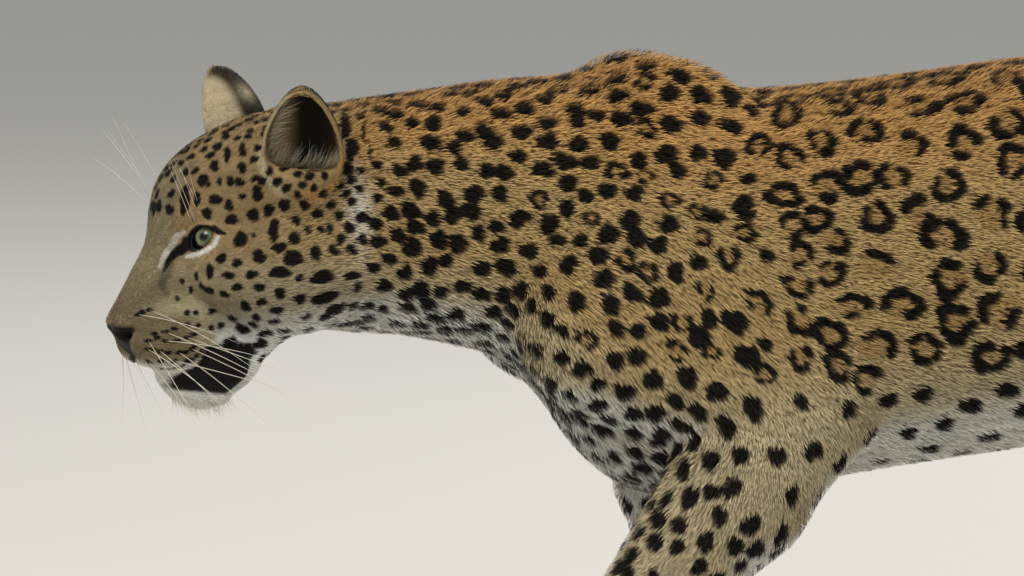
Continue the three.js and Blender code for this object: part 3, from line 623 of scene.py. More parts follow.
def head_forms() -> list[Form]:
    """The head without its ears."""

    def on_head(at: Vec, radii: Vec, seam: float, turn: float = 0, pitch: float = 0, **more) -> Egg:
        return egg(from_head(at), radii, seam, HEAD_DEG + turn, pitch, **more)

    def bar(a: Vec, b: Vec, ra: float, rb: float, seam: float) -> Limb:
        back = tuple(unit(from_head((-100, 0, 400)) - from_head(HAIR_START)))
        return limb(from_head(a), from_head(b), ra, rb, seam, lie=back)

    lid = EYE_RADIUS + LID
    made = [
        on_head((-60, 0, 455), (84, 63, 73), 26),
        on_head((-111, 0, 450), (53, 45, 52), 22),
        bar((-134, 0, 426), (-176, 0, 373), 30, 20, 16),
        *(on_head((-181, s * 7, 362), (20, 13.5, 15), 9) for s in (LEFT, RIGHT)),
        on_head((-145, 0, 357), (44, 40, 32), 14),
        *(on_head((-157, s * 20, 347), (30, 22, 22), 9, s * 8) for s in (LEFT, RIGHT)),
        *(on_head((-124, s * 31, 443), (26, 19, 17), 14, 0, -12) for s in (LEFT, RIGHT)),
        *(on_head((-92, s * 48, 402), (52, 32, 32), 26, s * 14) for s in (LEFT, RIGHT)),
        *(on_head((-58, s * 46, 398), (56, 36, 44), 26, s * 6, -10) for s in (LEFT, RIGHT)),
        bar((-62, 0, 384), (-122, 0, 322), 35, 25, 16),
        *(bar((-68, s * 32, 380), (-116, s * 16, 322), 22, 19, 16) for s in (LEFT, RIGHT)),
        on_head((-130, 0, 313), (31, 24, 18), 12, 0, 20),
        *(on_head((-114, s * 27, 329), (26, 15, 20), 12) for s in (LEFT, RIGHT)),
        *(on_head((-149, s * 47, 433), (16, 16, 14), 10, carves=True) for s in (LEFT, RIGHT)),
        *(
            on_head((EYE[0] - 1, s * (EYE[1] + 1), EYE[2]), (lid, lid, lid), 9)
            for s in (LEFT, RIGHT)
        ),
        *(bar((-50, s * 42, 470), (-52, s * 56, 488), 30, 22, 16) for s in (LEFT, RIGHT)),
    ]
    return made


def ear_axes(side: int) -> tuple[Array, Array, Array]:
    """Up, the way the cup faces, and across, in the body's frame."""
    mirror = np.array([1, side, 1])
    return tuple(head_vector(a) for a in square_axes(mirror * EAR_UP, mirror * EAR_FACING))


def ear_forms(side: int) -> list[Form]:
    """The bowl of an ear and its hollow."""
    up, facing, across = ear_axes(side)
    centre = from_head(EAR_PLACES[side])
    axes = (tuple(up), tuple(facing), tuple(across))
    outer_radii = tuple(r - EAR_COAT for r in EAR_RADII)
    inner_radii = tuple(r - 5.0 + EAR_COAT for r in EAR_RADII)
    outer = Egg(at=tuple(centre), radii=outer_radii, axes=axes, seam=1, taper=EAR_TAPER)
    behind = tuple(centre + 1.5 * facing)
    inner = Egg(at=behind, radii=inner_radii, axes=axes, seam=1, taper=EAR_TAPER)
    bowl = EarBowl(outer=outer, inner=inner, rim=2.0, seam=7)
    return [bowl, EarCup(inner=inner, front=9.0, floor=EAR_FLOOR, seam=3, carves=True)]


def eye_almond(side: int) -> Almond:
    """The opening between the lids on one side."""
    inner = np.array([1, side, 1]) * EYE_INNER_CORNER
    outer = np.array([1, side, 1]) * EYE_OUTER_CORNER
    middle = (inner + outer) / 2
    along, gaze, up = square_axes(outer - inner, middle - np.array([1, side, 1]) * EYE)
    if up[2] < 0:
        up = -up
    axes = tuple(tuple(head_vector(a)) for a in (along, gaze, up))
    half = float(np.linalg.norm(outer - inner)) / 2
    at = tuple(from_head(middle))
    return Almond(at=at, axes=axes, half_length=half, upper=9.3, lower=6.5, seam=0.6, carves=True)


def thinned(depth: Array, x: Array, y: Array, z: Array, middle: Array, reach: tuple, least: float):
    """The coat's depth brought down to the least one near a place.

    Args:
        depth: The depth so far.
        x: Places along the animal.
        y: Places across it.
        z: Heights.
        middle: The place.
        reach: Distances from it where the coat is thin, and where it is full.
        least: The depth at the place.

    Returns:
        The new depth.
    """
    away = np.sqrt((x - middle[0]) ** 2 + (y - middle[1]) ** 2 + (z - middle[2]) ** 2)
    share = 1 - smoothstep(*reach, away)
    return depth * (1 - share) + np.minimum(depth, least) * share


def coat_depth(x: Array, y: Array, z: Array) -> Array:
    """Depth of the coat over the skin."""
    u = (x - NAPE[0]) * HEAD_COS + (y - NAPE[1]) * HEAD_SIN
    depth = np.minimum(np.interp(u, *COAT_ALONG_HEAD), np.interp(z, *COAT_BY_HEIGHT))
    for side in (LEFT, RIGHT):
        eye = (EYE[0], side * EYE[1], EYE[2])
        for place, reach, least in ((EAR_PLACES[side], EAR_THIN, EAR_COAT), (eye, EYE_THIN, EYE_COAT)):
            c = from_head(place)
            if np.size(depth) > LARGE_LATTICE:
                i, j, k = (np.abs(v.ravel() - w) < reach[1] for v, w in zip((x, y, z), c))
                lot = np.ix_(i, j, k)
                depth[lot] = thinned(depth[lot], x[i], y[:, j], z[:, :, k], c, reach, least)
            else:
                depth = thinned(depth, x, y, z, c, reach, least)
    return depth


class Body:
    """The field of the whole animal: its flesh, and the details cut in its skin."""

    REACH = 14.0
    SOLE = 0.4

    def __init__(self) -> None:
        """Gathers the forms, then lays the mouth and nostrils on the skin."""
        self.trunk = Trunk(rows=TRUNK_SECTIONS, seam=20, lie=(1.0, 0.0, -0.22))
        tail = Cord(line=tuple(map(tuple, smooth_line(TAIL_STATIONS, 3))), seam=22)
        self.flesh: list[Form] = [
            self.trunk,
            *head_forms(),
            *(form for leg in FORELEGS for form in leg.forms()),
            *(form for leg in HINDLEGS for form in leg.forms()),
            tail,
        ]
        self.ears = [form for side in (LEFT, RIGHT) for form in ear_forms(side)]
        self.almonds = {side: eye_almond(side) for side in (LEFT, RIGHT)}
        self.details: list[Form] = list(self.ears)
        self.lip_line = self.lay_lip_line()
        self.details += [
            *self.almonds.values(),
            Cord(line=tuple(map(tuple, self.lip_line)), seam=1.2, carves=True),
            *(self.pit(NOSTRIL, side, 2.0) for side in (LEFT, RIGHT)),
            self.pit(PHILTRUM, LEFT, 1.5),
        ]

    def pit(self, stations: Sequence, side: int, seam: float) -> Cord:
        """A groove along stations given in the head's frame."""
        line = smooth_line([(x, side * y, z, r) for x, y, z, r in stations], 2)
        placed = np.column_stack([from_head(line[:, :3]), line[:, 3]])
        return Cord(line=tuple(map(tuple, placed)), seam=seam, carves=True)

    def lay_lip_line(self) -> Array:
        """The line of the mouth from one corner round to the other, laid in the skin."""
        half = [(x, y, z) for x, y, z in LIP_LINE]
        both = [(x, -y, z) for x, y, z in half[:0:-1]] + half
        line = self.settle(smooth_line(from_head(both), 3), -0.4)
        radius = np.full(len(line), 2.0)
        radius[[0, -1]], radius[[1, -2]] = 1.1, 1.6
        return np.column_stack([line, radius])

    def fold(self, forms: Iterable[Form], d: Array, p: Array) -> Array:
        """The forms' distances folded into the distance so far, at points.

        Args:
            forms: The forms in order.
            d: Distance so far.
            p: The points, one row each.

        Returns:
            The new distance.
        """
        for form in forms:
            low, high = form.box()
            reach = form.seam + self.REACH
            near = np.all((p > low - reach) & (p < high + reach), 1)
            if near.any():
                q = p[near]
                d[near] = form.mix(d[near], form.distance(q[:, 0], q[:, 1], q[:, 2]))
        return d

    def value(self, p: Array) -> Array:
        """Distance to the skin at points, below zero inside."""
        d = self.fold(self.flesh, np.full(len(p), 60.0), p)
        d += coat_depth(p[:, 0], p[:, 1], p[:, 2])
        return np.maximum(self.fold(self.details, d, p), self.SOLE - p[:, 2])

    def slope(self, p: Array, e: float = 0.4) -> Array:
        """Slope of the field at points."""
        steps = np.eye(3) * e
        return np.stack([(self.value(p + s) - self.value(p - s)) / (2 * e) for s in steps], 1)

    def settle(self, p: Array, level: float = 0.0, passes: int = 3, most: float = 3.0) -> Array:
        """Points moved along the slope until they lie at a level of the field."""
        for _ in range(passes):
            g = self.slope(p)
            g2 = np.maximum((g * g).sum(1, keepdims=True), 0.2)
            move = -(self.value(p) - level)[:, None] * g / g2
            far = np.linalg.norm(move, axis=1, keepdims=True)
            p = p + move * np.minimum(1.0, most / np.maximum(far, 1e-9))
        return p

    def fold_lattice(self, forms: Iterable[Form], d: Array, axes: list[Array]) -> None:
        """The forms' distances folded in place into a lattice of distances."""
        for form in forms:
            low, high = form.box()
            reach = form.seam + self.REACH
            cut = [
                slice(*np.searchsorted(a, (lo - reach, hi + reach)))
                for a, lo, hi in zip(axes, low, high)
            ]
            x, y, z = (a[c].astype(np.float32) for a, c in zip(axes, cut))
            part = d[cut[0], cut[1], cut[2]]
            other = form.distance(x[:, None, None], y[None, :, None], z[None, None, :])
            part[...] = form.mix(part, other)

    def lattice(self, axes: list[Array]) -> Array:
        """Distance to the skin over a lattice of lines."""
        d = np.full([len(a) for a in axes], 60.0, np.float32)
        self.fold_lattice(self.flesh, d, axes)
        x, y, z = (a.astype(np.float32) for a in axes)
        d += coat_depth(x[:, None, None], y[None, :, None], z[None, None, :]).astype(np.float32)
        self.fold_lattice(self.details, d, axes)
        return np.maximum(d, (self.SOLE - z)[None, None, :])

    def lay(self, p: Array) -> Array:
        """The way that the hair points at points on the skin."""
        total = np.zeros_like(p)
        for form in [*self.flesh, *self.ears[::2]]:
            if form.carves:
                continue
            low, high = form.box()
            near = np.all((p > low - 30) & (p < high + 30), 1)
            if near.any():
                q = p[near]
                d = form.distance(q[:, 0], q[:, 1], q[:, 2])
                total[near] += np.exp(-np.maximum(d, -20) / 8)[:, None] * form.lay(q)
        return unit(total)


class Lattice:
    """Lines of the lattice that the skin is meshed on, closer together where there is more detail."""

    ALONG = ((-495, -215, -120, 60), (1.7, 1.8, 3.9, 4.8))
    UP = (
        (0, 60, 75, 280, 292, 410, 416, 450, 456, 550, 560),
        (2.5, 2.5, 4.0, 4.0, 2.3, 2.3, 1.6, 1.6, 2.3, 2.3, 3.2),
    )
    LOW, HIGH = (-490.0, -138.0, -5.0), (1204.0, 138.0, 604.0)
    ACROSS = 2.2

    @staticmethod
    def run(low: float, high: float, steps: tuple) -> Array:
        """Places from low to high with a step that varies.

        Args:
            low: First place.
            high: Last place.
            steps: Places and the step at each.

        Returns:
            The places.
        """
        places = [low]
        while places[-1] < high:
            places.append(places[-1] + float(np.interp(places[-1], *steps)))
        return np.array(places)

    def axes(self) -> list[Array]:
        """The three sets of lines."""
        across = np.arange(self.LOW[1], self.HIGH[1], self.ACROSS)
        along = self.run(self.LOW[0], self.HIGH[0], self.ALONG)
        return [along, across, self.run(self.LOW[2], self.HIGH[2], self.UP)]


# Meshes


def point_tree(points: Array) -> KDTree:
    """A tree that finds the nearest of some points."""
    tree = KDTree(len(points))
    for i, p in enumerate(points.tolist()):
        tree.insert(p, i)
    tree.balance()
    return tree


def make_mesh(name: str, points: Array, quads: Array, tris: Array | None = None):
    """A mesh object from arrays, in metres and in the part's frame.

    Args:
        name: The object's name.
        points: Places in millimetres in the animal's raw frame.
        quads: Four corners a face.
        tris: Three corners a face.

    Returns:
        The object, linked to the scene.
    """
    tris = np.zeros((0, 3), np.int32) if tris is None else np.asarray(tris, np.int32)
    quads = np.asarray(quads, np.int32).reshape(-1, 4)
    mesh = bpy.data.meshes.new(name)
    mesh.vertices.add(len(points))
    mesh.vertices.foreach_set("co", ((points + SHIFT) * MM).astype(np.float32).ravel())
    corners = np.concatenate([quads.ravel(), tris.ravel()])
    mesh.loops.add(len(corners))
    mesh.loops.foreach_set("vertex_index", corners)
    starts = np.concatenate(
        [np.arange(len(quads)) * 4, len(quads) * 4 + np.arange(len(tris)) * 3]
    ).astype(np.int32)
    mesh.polygons.add(len(starts))
    mesh.polygons.foreach_set("loop_start", starts)
    mesh.polygons.foreach_set("use_smooth", np.ones(len(starts), bool))
    mesh.update(calc_edges=True)
    obj = bpy.data.objects.new(name, mesh)
    bpy.context.scene.collection.objects.link(obj)
    return obj


def colour_layer(obj, name: str, values: Array) -> None:
    """A colour attribute on the points of a mesh."""
    layer = obj.data.attributes.new(name, "FLOAT_COLOR", "POINT")
    layer.data.foreach_set("color", values.astype(np.float32).ravel())


def value_layer(obj, name: str, values: Array) -> None:
    """A plain value on the points of a mesh."""
    layer = obj.data.attributes.new(name, "FLOAT", "POINT")
    layer.data.foreach_set("value", np.ascontiguousarray(values, np.float32).ravel())


def linear(hex_colour: str) -> Array:
    """An sRGB hex colour as linear red, green and blue."""
    c = np.array([int(hex_colour[i : i + 2], 16) for i in (1, 3, 5)]) / 255.0
    return np.where(c <= 0.04045, c / 12.92, ((c + 0.055) / 1.055) ** 2.4)


def dress(obj, material) -> None:
    """A piece's material, and the body it rides on."""
    obj.data.materials.append(material)
    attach(obj, "root")


def add_node(tree, kind: str, links: dict | None = None, **settings):
    """A shader node with its settings and the links into it.

    Args:
        tree: The node tree.
        kind: The node's type name.
        links: Input name or number to an output socket or a value.
        settings: Properties of the node.

    Returns:
        The node.
    """
    node = tree.nodes.new(kind)
    for name, value in settings.items():
        setattr(node, name, value)
    for name, value in (links or {}).items():
        socket = node.inputs[name]
        if isinstance(value, bpy.types.NodeSocket):
            tree.links.new(value, socket)
        else:
            socket.default_value = value
    return node


# Markings


class Palette:
    """Colours of the coat in plain white light."""

    WHITE = linear("#dfdfd8")
    CREAM = linear("#bdb294")
    BUFF = linear("#a5997a")
    GREYISH = linear("#b3a582")
    TAN = linear("#af9463")
    OCHRE = linear("#bd8f52")
    OLIVE = linear("#97805a")
    PAD = linear("#776b50")
    BRIDGE = linear("#6f6049")
    BROW = linear("#8c8263")
    BLACK = linear("#1a1512")


def blend(a: Array, b: Array, share: Array) -> Array:
    """Colours b laid over colours a by a share for each place."""
    return a + (b - a) * np.asarray(share)[:, None]


@dataclass(frozen=True)
class Camera:
    """The photograph's view: its azimuth and elevation in degrees, and its scale."""

    azimuth: float = -5.0
    elevation: float = 5.0
    target: Vec = (-114.8, 0.0, 383.0)
    distance: float = 12000.0
    image: tuple[int, int] = (1024, 576)
    pixels_per_mm: float = 1.25
    sensor: float = 36.0

    def axes(self) -> tuple[Array, Array, Array]:
        """Right, up and back, towards the camera."""
        a, e = math.radians(self.azimuth), math.radians(self.elevation)
        right = np.array([math.cos(a), math.sin(a), 0.0])
        back = np.array([math.sin(a) * math.cos(e), -math.cos(a) * math.cos(e), math.sin(e)])
        return right, np.cross(back, right), back

    def pixels(self, p: Array) -> Array:
        """Where places show in the photograph."""
        right, up, _ = self.axes()
        q = p - np.array(self.target)
        x = self.image[0] / 2 + self.pixels_per_mm * (q @ right)
        return np.stack([x, self.image[1] / 2 - self.pixels_per_mm * (q @ up)], 1)

    def build(self) -> None:
        """Makes the scene's camera."""
        data = bpy.data.cameras.new("camera")
        data.sensor_width = self.sensor
        data.lens = self.sensor * self.distance * self.pixels_per_mm / self.image[0]
        data.clip_start, data.clip_end = 1.0, 100.0
        obj = bpy.data.objects.new("camera", data)
        bpy.context.scene.collection.objects.link(obj)
        back = Vector(self.axes()[2])
        obj.location = Vector((np.array(self.target) + SHIFT) * MM) + back * self.distance * MM
        obj.rotation_euler = (-back).to_track_quat("-Z", "Y").to_euler()
        bpy.context.scene.camera = obj


class Mark(Enum):
    """Kinds of dark mark."""

    SPOT = 0
    ROSETTE = 1


# Marks on the near side of the face: place in the photograph, width and height there, in pixels.
FACE_MARKS = (
    (243, 238, 15, 15), (258, 235, 5, 5), (235, 219, 14, 10), (233, 206, 9, 12), (257, 213, 12, 15),
    (246, 197, 7, 7), (278, 230, 12, 22), (298, 238, 13, 13), (261, 255, 14, 14), (239, 261, 10, 10),
    (296, 257, 18, 18), (318, 252, 14, 14), (335, 250, 12, 12), (285, 272, 21, 13), (253, 275, 14, 9),
    (230, 276, 13, 8), (211, 272, 9, 15), (222, 259, 11, 11), (324, 277, 24, 14), (354, 276, 15, 10),
    (303, 279, 8, 8), (263, 289, 12, 9), (239, 288, 12, 8), (226, 296, 12, 7), (210, 292, 13, 8),
    (285, 293, 12, 12), (302, 300, 14, 10), (247, 307, 11, 11), (265, 304, 12, 7), (280, 311, 14, 9),
    (234, 319, 10, 8), (258, 319, 10, 8), (225, 326, 9, 7), (216, 327, 6, 6), (327, 297, 26, 14),
    (333, 312, 26, 14), (347, 322, 35, 14), (216, 199, 16, 10), (198, 199, 8, 14), (186, 201, 12, 24),
    (204, 179, 12, 12), (210, 184, 6, 6), (220, 181, 6, 8), (233, 180, 10, 10), (242, 181, 10, 10),
    (217, 166, 9, 13), (229, 154, 8, 15), (246, 167, 9, 12), (246, 150, 8, 15), (261, 192, 12, 16),
    (285, 207, 11, 15), (299, 220, 9, 11), (309, 229, 8, 8), (324, 230, 8, 8), (333, 230, 8, 12),
    (183, 283, 5, 7), (197, 276, 5, 9), (202, 287, 5, 7), (183, 297, 5, 6), (192, 291, 5, 8),
    (190, 310, 7, 6), (201, 312, 6, 6), (214, 312, 8, 6), (192, 322, 6, 5), (203, 325, 6, 5),
    (348, 126, 13, 26), (353, 149, 13, 26), (349, 169, 10, 16), (366, 132, 4, 22), (372, 152, 4, 20),
)
# Lines at the near eye: place in the photograph in pixels and half width in millimetres.
WHITE_OVER_TEAR = (
    (184, 234, 1.6), (178, 239, 2.2), (171.5, 247, 2.5), (165.5, 256, 2.2), (160, 266, 1.2),
)
WHITE_UNDER_LID = (
    (187, 258, 1.0), (193, 256.5, 1.6), (200, 255, 1.8), (207, 252, 1.8), (213, 246.5, 1.6),
    (217.5, 240, 1.4), (219, 236, 0.9),
)
BLACK_TEAR = (
    (191, 243, 3.4), (187, 246, 4.0), (182, 249, 4.0), (176, 254, 3.2), (169.5, 261, 2.3),
    (165.5, 269, 1.2),
)
BLACK_TAIL = ((216, 227, 2.2), (220, 229, 2.4), (225, 231, 1.8), (229, 233, 0.9))
GREY_SMUDGE = ((170, 262, 3.0), (167, 272, 3.6), (168, 283, 3.2), (172, 292, 2.0))
# Rows of dots that the whiskers grow from, and the size of each.
DOT_SIZE = (8.0, 4.6)
WHISKER_DOTS = (
    (140, 313), (146, 310), (152, 307), (156, 331), (169, 330), (179, 328), (150, 339), (158, 338),
    (168, 339), (182, 340), (192, 336), (199, 334), (150, 351), (156, 351), (163, 353), (173, 354),
    (183, 353), (191, 352), (196, 351), (200, 347), (150, 363), (164, 363), (178, 362), (192, 361),
)


class SeenFace:
    """Finds the places of the near side of the head that show in the photograph."""

    def __init__(self, points: Array, normals: Array) -> None:
        """Keeps the skin's points that face the camera.

        Args:
            points: Points of the skin.
            normals: Outward directions there.
        """
        camera = Camera()
        back = camera.axes()[2]
        self.points = points
        self.seen = np.flatnonzero((normals @ back > 0.12) & (to_head(points)[:, 0] < 60))
        self.pixels = camera.pixels(points[self.seen])
        self.toward = points[self.seen] @ back

    def find(self, x: float, y: float) -> int:
        """The skin's point that shows at a pixel."""
        away = np.linalg.norm(self.pixels - (x, y), axis=1)
        close = np.flatnonzero(away < max(3.0, away.min() + 0.5))
        return int(self.seen[close[np.argmax(self.toward[close])]])

    def lay(self, stations: Sequence) -> Array:
        """A line drawn in the photograph, laid on the skin in the head's own frame.

        Args:
            stations: Pixels and the half width at each.

        Returns:
            Places with a positive second coordinate, and half widths.
        """
        rows = [(*to_head(self.points[self.find(x, y)]), r) for x, y, r in stations]
        return smooth_line(np.array(rows) * (1, -1, 1, 1), 4)


def near_line(h: Array, line: Array) -> Array:
    """Share of each place in the head's own frame that a line covers, on both sides of the face."""
    share = np.zeros(len(h))
    near = np.flatnonzero((h[:, 0] < -90) & (h[:, 2] > 370) & (h[:, 2] < 470))
    q = np.abs(h[near]) * (-1, 1, 1)
    for x, y, z, r in line:
        away = np.linalg.norm((q - (x, y, z)) * (1, 0.6, 1), axis=1)
        share[near] = np.maximum(share[near], smoothstep(r + 0.9, r - 0.5, away))
    return share


def height_share(p: Array, trunk: Trunk) -> Array:
    """Height within the trunk: 0 at the belly, 1 at the back."""
    top, bottom, *_ = trunk.section(p[:, 0])
    return (p[:, 2] - bottom) / np.maximum(top - bottom, 60.0)


class Ground:
    """The coat's ground colour and bare skin, by place."""

    def __init__(self, body: Body, face: SeenFace) -> None:
        """Keeps the body whose sections the colour follows, and lays the lines at the eyes."""
        self.body = body
        self.white_lines = [(face.lay(WHITE_OVER_TEAR), 0.5), (face.lay(WHITE_UNDER_LID), 0.8)]
        self.black_lines = [
            (face.lay(BLACK_TEAR), 1.0), (face.lay(BLACK_TAIL), 1.0), (face.lay(GREY_SMUDGE), 0.4),
        ]

    def colour(self, p: Array, n: Array) -> Array:
        """Ground colour at places.

        Args:
            p: Places on the skin.
            n: Outward directions there.

        Returns:
            Linear colours.
        """
        v = height_share(p, self.body.trunk)
        x, y, z = p[:, 0], p[:, 1], p[:, 2]
        c = blend(np.tile(Palette.GREYISH, (len(p), 1)), Palette.TAN, smoothstep(0.15, 0.42, v))
        c = blend(c, Palette.OCHRE, smoothstep(0.6, 0.95, v) * 0.85)
        c = self.on_legs(c, p)
        c = self.on_tail(c, p, n)
        breast = smoothstep(10, -30, x) * smoothstep(76, 58, np.abs(y))
        belly = smoothstep(185, 235, x) * smoothstep(455, 420, x)
        under = smoothstep(0.22, 0.08, v) * np.maximum(breast, belly)
        inner = smoothstep(0.05, 0.5, -n[:, 1] * np.sign(y)) * smoothstep(330, 270, z) * (x < 760)
        below = smoothstep(0.35, 0.75, -n[:, 2]) * (z > 80)
        white = np.maximum.reduce([under, inner, below])
        return self.on_head(blend(c, Palette.WHITE, white * 0.92), p)

    def on_legs(self, c: Array, p: Array) -> Array:
        """Paler tan down the outer side of the legs."""
        leg = smoothstep(300, 190, p[:, 2]) * (p[:, 0] > -170) * (p[:, 0] < 745)
        return blend(c, Palette.TAN + 0.7 * (Palette.CREAM - Palette.TAN), leg)

    def on_tail(self, c: Array, p: Array, n: Array) -> Array:
        """Tan above and white below along the tail."""
        tail = smoothstep(640, 700, p[:, 0]) * (p[:, 2] > 100)
        on = tail > 0
        side = np.zeros(len(p))
        if on.any():
            along = self.body.flesh[-1].lay(p[on])
            back = unit(np.cross(along, np.cross((0.25, 0, 1.0), along)))
            side[on] = (n[on] * back).sum(1)
        shade = blend(np.tile(Palette.WHITE, (len(p), 1)), Palette.TAN, smoothstep(-0.55, 0.0, side))
        return blend(c, shade, tail)

    def on_head(self, c: Array, p: Array) -> Array:
        """Olive tan over the head, brown-grey bridge, pale cheek, white jaw, chin and eye lines."""
        h = to_head(p)
        u, b, z = h[:, 0], np.abs(h[:, 1]), h[:, 2]
        head = smoothstep(40, -50, u)
        face = blend(np.tile(Palette.OLIVE, (len(p), 1)), Palette.TAN, smoothstep(-110, -30, u) * 0.5)
        face = blend(face, Palette.BUFF, smoothstep(432, 390, z))
        bridge = smoothstep(30, 20, b) * smoothstep(-132, -148, u) * smoothstep(362, 372, z)
        face = blend(face, Palette.BRIDGE, bridge * 0.85)
        face = blend(face, Palette.BROW, bridge * smoothstep(378, 412, z) * 0.8)
        pad = smoothstep(-136, -152, u) * smoothstep(376, 366, z)
        face = blend(face, Palette.PAD, pad)
        face = blend(face, Palette.CREAM, pad * smoothstep(342, 334, z) * 0.3)
        jaw = smoothstep(384, 352, z - 0.12 * (u + 100)) * smoothstep(-134, -112, u)
        face = blend(face, Palette.WHITE, np.maximum(jaw, smoothstep(338, 326, z)))
        for line, most in self.white_lines:
            face = blend(face, Palette.WHITE, most * near_line(h, line))
        nape = np.exp(-(((u + 17) / 9) ** 2) - ((z - 450) / 28) ** 2) * (b > 45)
        band = np.exp(-(((u + 8) / 8) ** 2) - ((z - 505) / 18) ** 2) * (b > 40)
        face = blend(blend(face, Palette.WHITE, nape * 0.95), Palette.OCHRE, band * 0.9)
        return blend(c, self.on_ears(face, p), head)

    def on_ears(self, c: Array, p: Array) -> Array:
        """Painted shade as black deep in the hollow, olive at its front, and black behind with a pale
        patch.
        """
        for side, bowl in zip((LEFT, RIGHT), self.body.ears[::2]):
            up, facing, across = ear_axes(side)
            front = across * np.sign(across @ head_vector((-1, 0, 0)))
            q = p - from_head(EAR_PLACES[side])
            high, ahead, fore = q @ up, q @ facing, q @ front
            reach = np.sqrt((high / 48) ** 2 + (fore / 36) ** 2 + (ahead / 34) ** 2)
            near = smoothstep(1.16, 1.02, reach)
            hollow = smoothstep(2.4, 1.2, bowl.inner.distance(p[:, 0], p[:, 1], p[:, 2]))
            base = (1 - hollow) * smoothstep(0, -12, high) * smoothstep(6, -8, fore)
            c = blend(c, Palette.OCHRE, near * base * 0.7)
            black = (1 - hollow) * smoothstep(-14, -4, high) * smoothstep(0, -5, ahead)
            black = black * smoothstep(18, 9, fore)
            patch = np.exp(-(((high - 16) / 8) ** 2) - (fore / 9) ** 2) * (1 - hollow)
            c = blend(c, Palette.CREAM, near * (1 - hollow) * smoothstep(8, 16, fore) * 0.7)
            c = blend(c, Palette.BLACK, near * black * 0.95)
            c = blend(c, Palette.CREAM, near * patch * 0.8)
            # Painted shade: black deep in the ear's hollow, where the cup lies in shade.
            painted_hollow_shade = hollow * smoothstep(22, 2, fore) * smoothstep(-3, -13, ahead)
            c = blend(c, Palette.OLIVE, near * hollow * 0.5)
            c = blend(c, Palette.BLACK, near * painted_hollow_shade)
        return c

    def bare(self, p: Array, n: Array) -> Array:
        """Share of bare dark skin: nose pad, lips, rims of the lids and the soles' pads."""
        h = to_head(p)
        u, b, z = h[:, 0], np.abs(h[:, 1]), h[:, 2]
        wide = 4.5 + 17.0 * np.clip((z - 333) / 25, 0, 1)
        nose = smoothstep(-167, -172, u) * smoothstep(364, 360, z) * smoothstep(wide + 1.5, wide - 1.5, b)
        line = self.body.lip_line[:, :3]
        near = (u < -80) & (z < 365) & (z > 290)
        lips = np.zeros(len(p))
        if near.any():
            away = np.sqrt(((p[near][:, None] - line[None]) ** 2).sum(-1)).min(1)
            lips[near] = smoothstep(4.2, 2.2, away)
        patch = smoothstep(-158, -152, u) * smoothstep(-93, -99, u)
        top = np.interp(u, (-158, -141, -132, -95), (318, 330, 346, 348))
        low = np.interp(u, (-158, -150, -113, -99, -92), (312, 309, 306, 320, 340))
        patch = patch * smoothstep(top + 1, top - 1.5, z) * smoothstep(low - 1.5, low + 1.5, z)
        lids = np.zeros(len(p))
        for side, almond in self.body.almonds.items():
            away = almond.distance(p[:, 0], p[:, 1], p[:, 2])
            front = np.linalg.norm(p - np.array(almond.at), axis=1) < 26
            lids = np.maximum(lids, smoothstep(2.5, 1.1, away) * front)
        pads = smoothstep(3.0, 1.0, p[:, 2]) * smoothstep(-0.6, -0.9, n[:, 2])
        return np.maximum.reduce([nose, lips, patch, lids, pads])


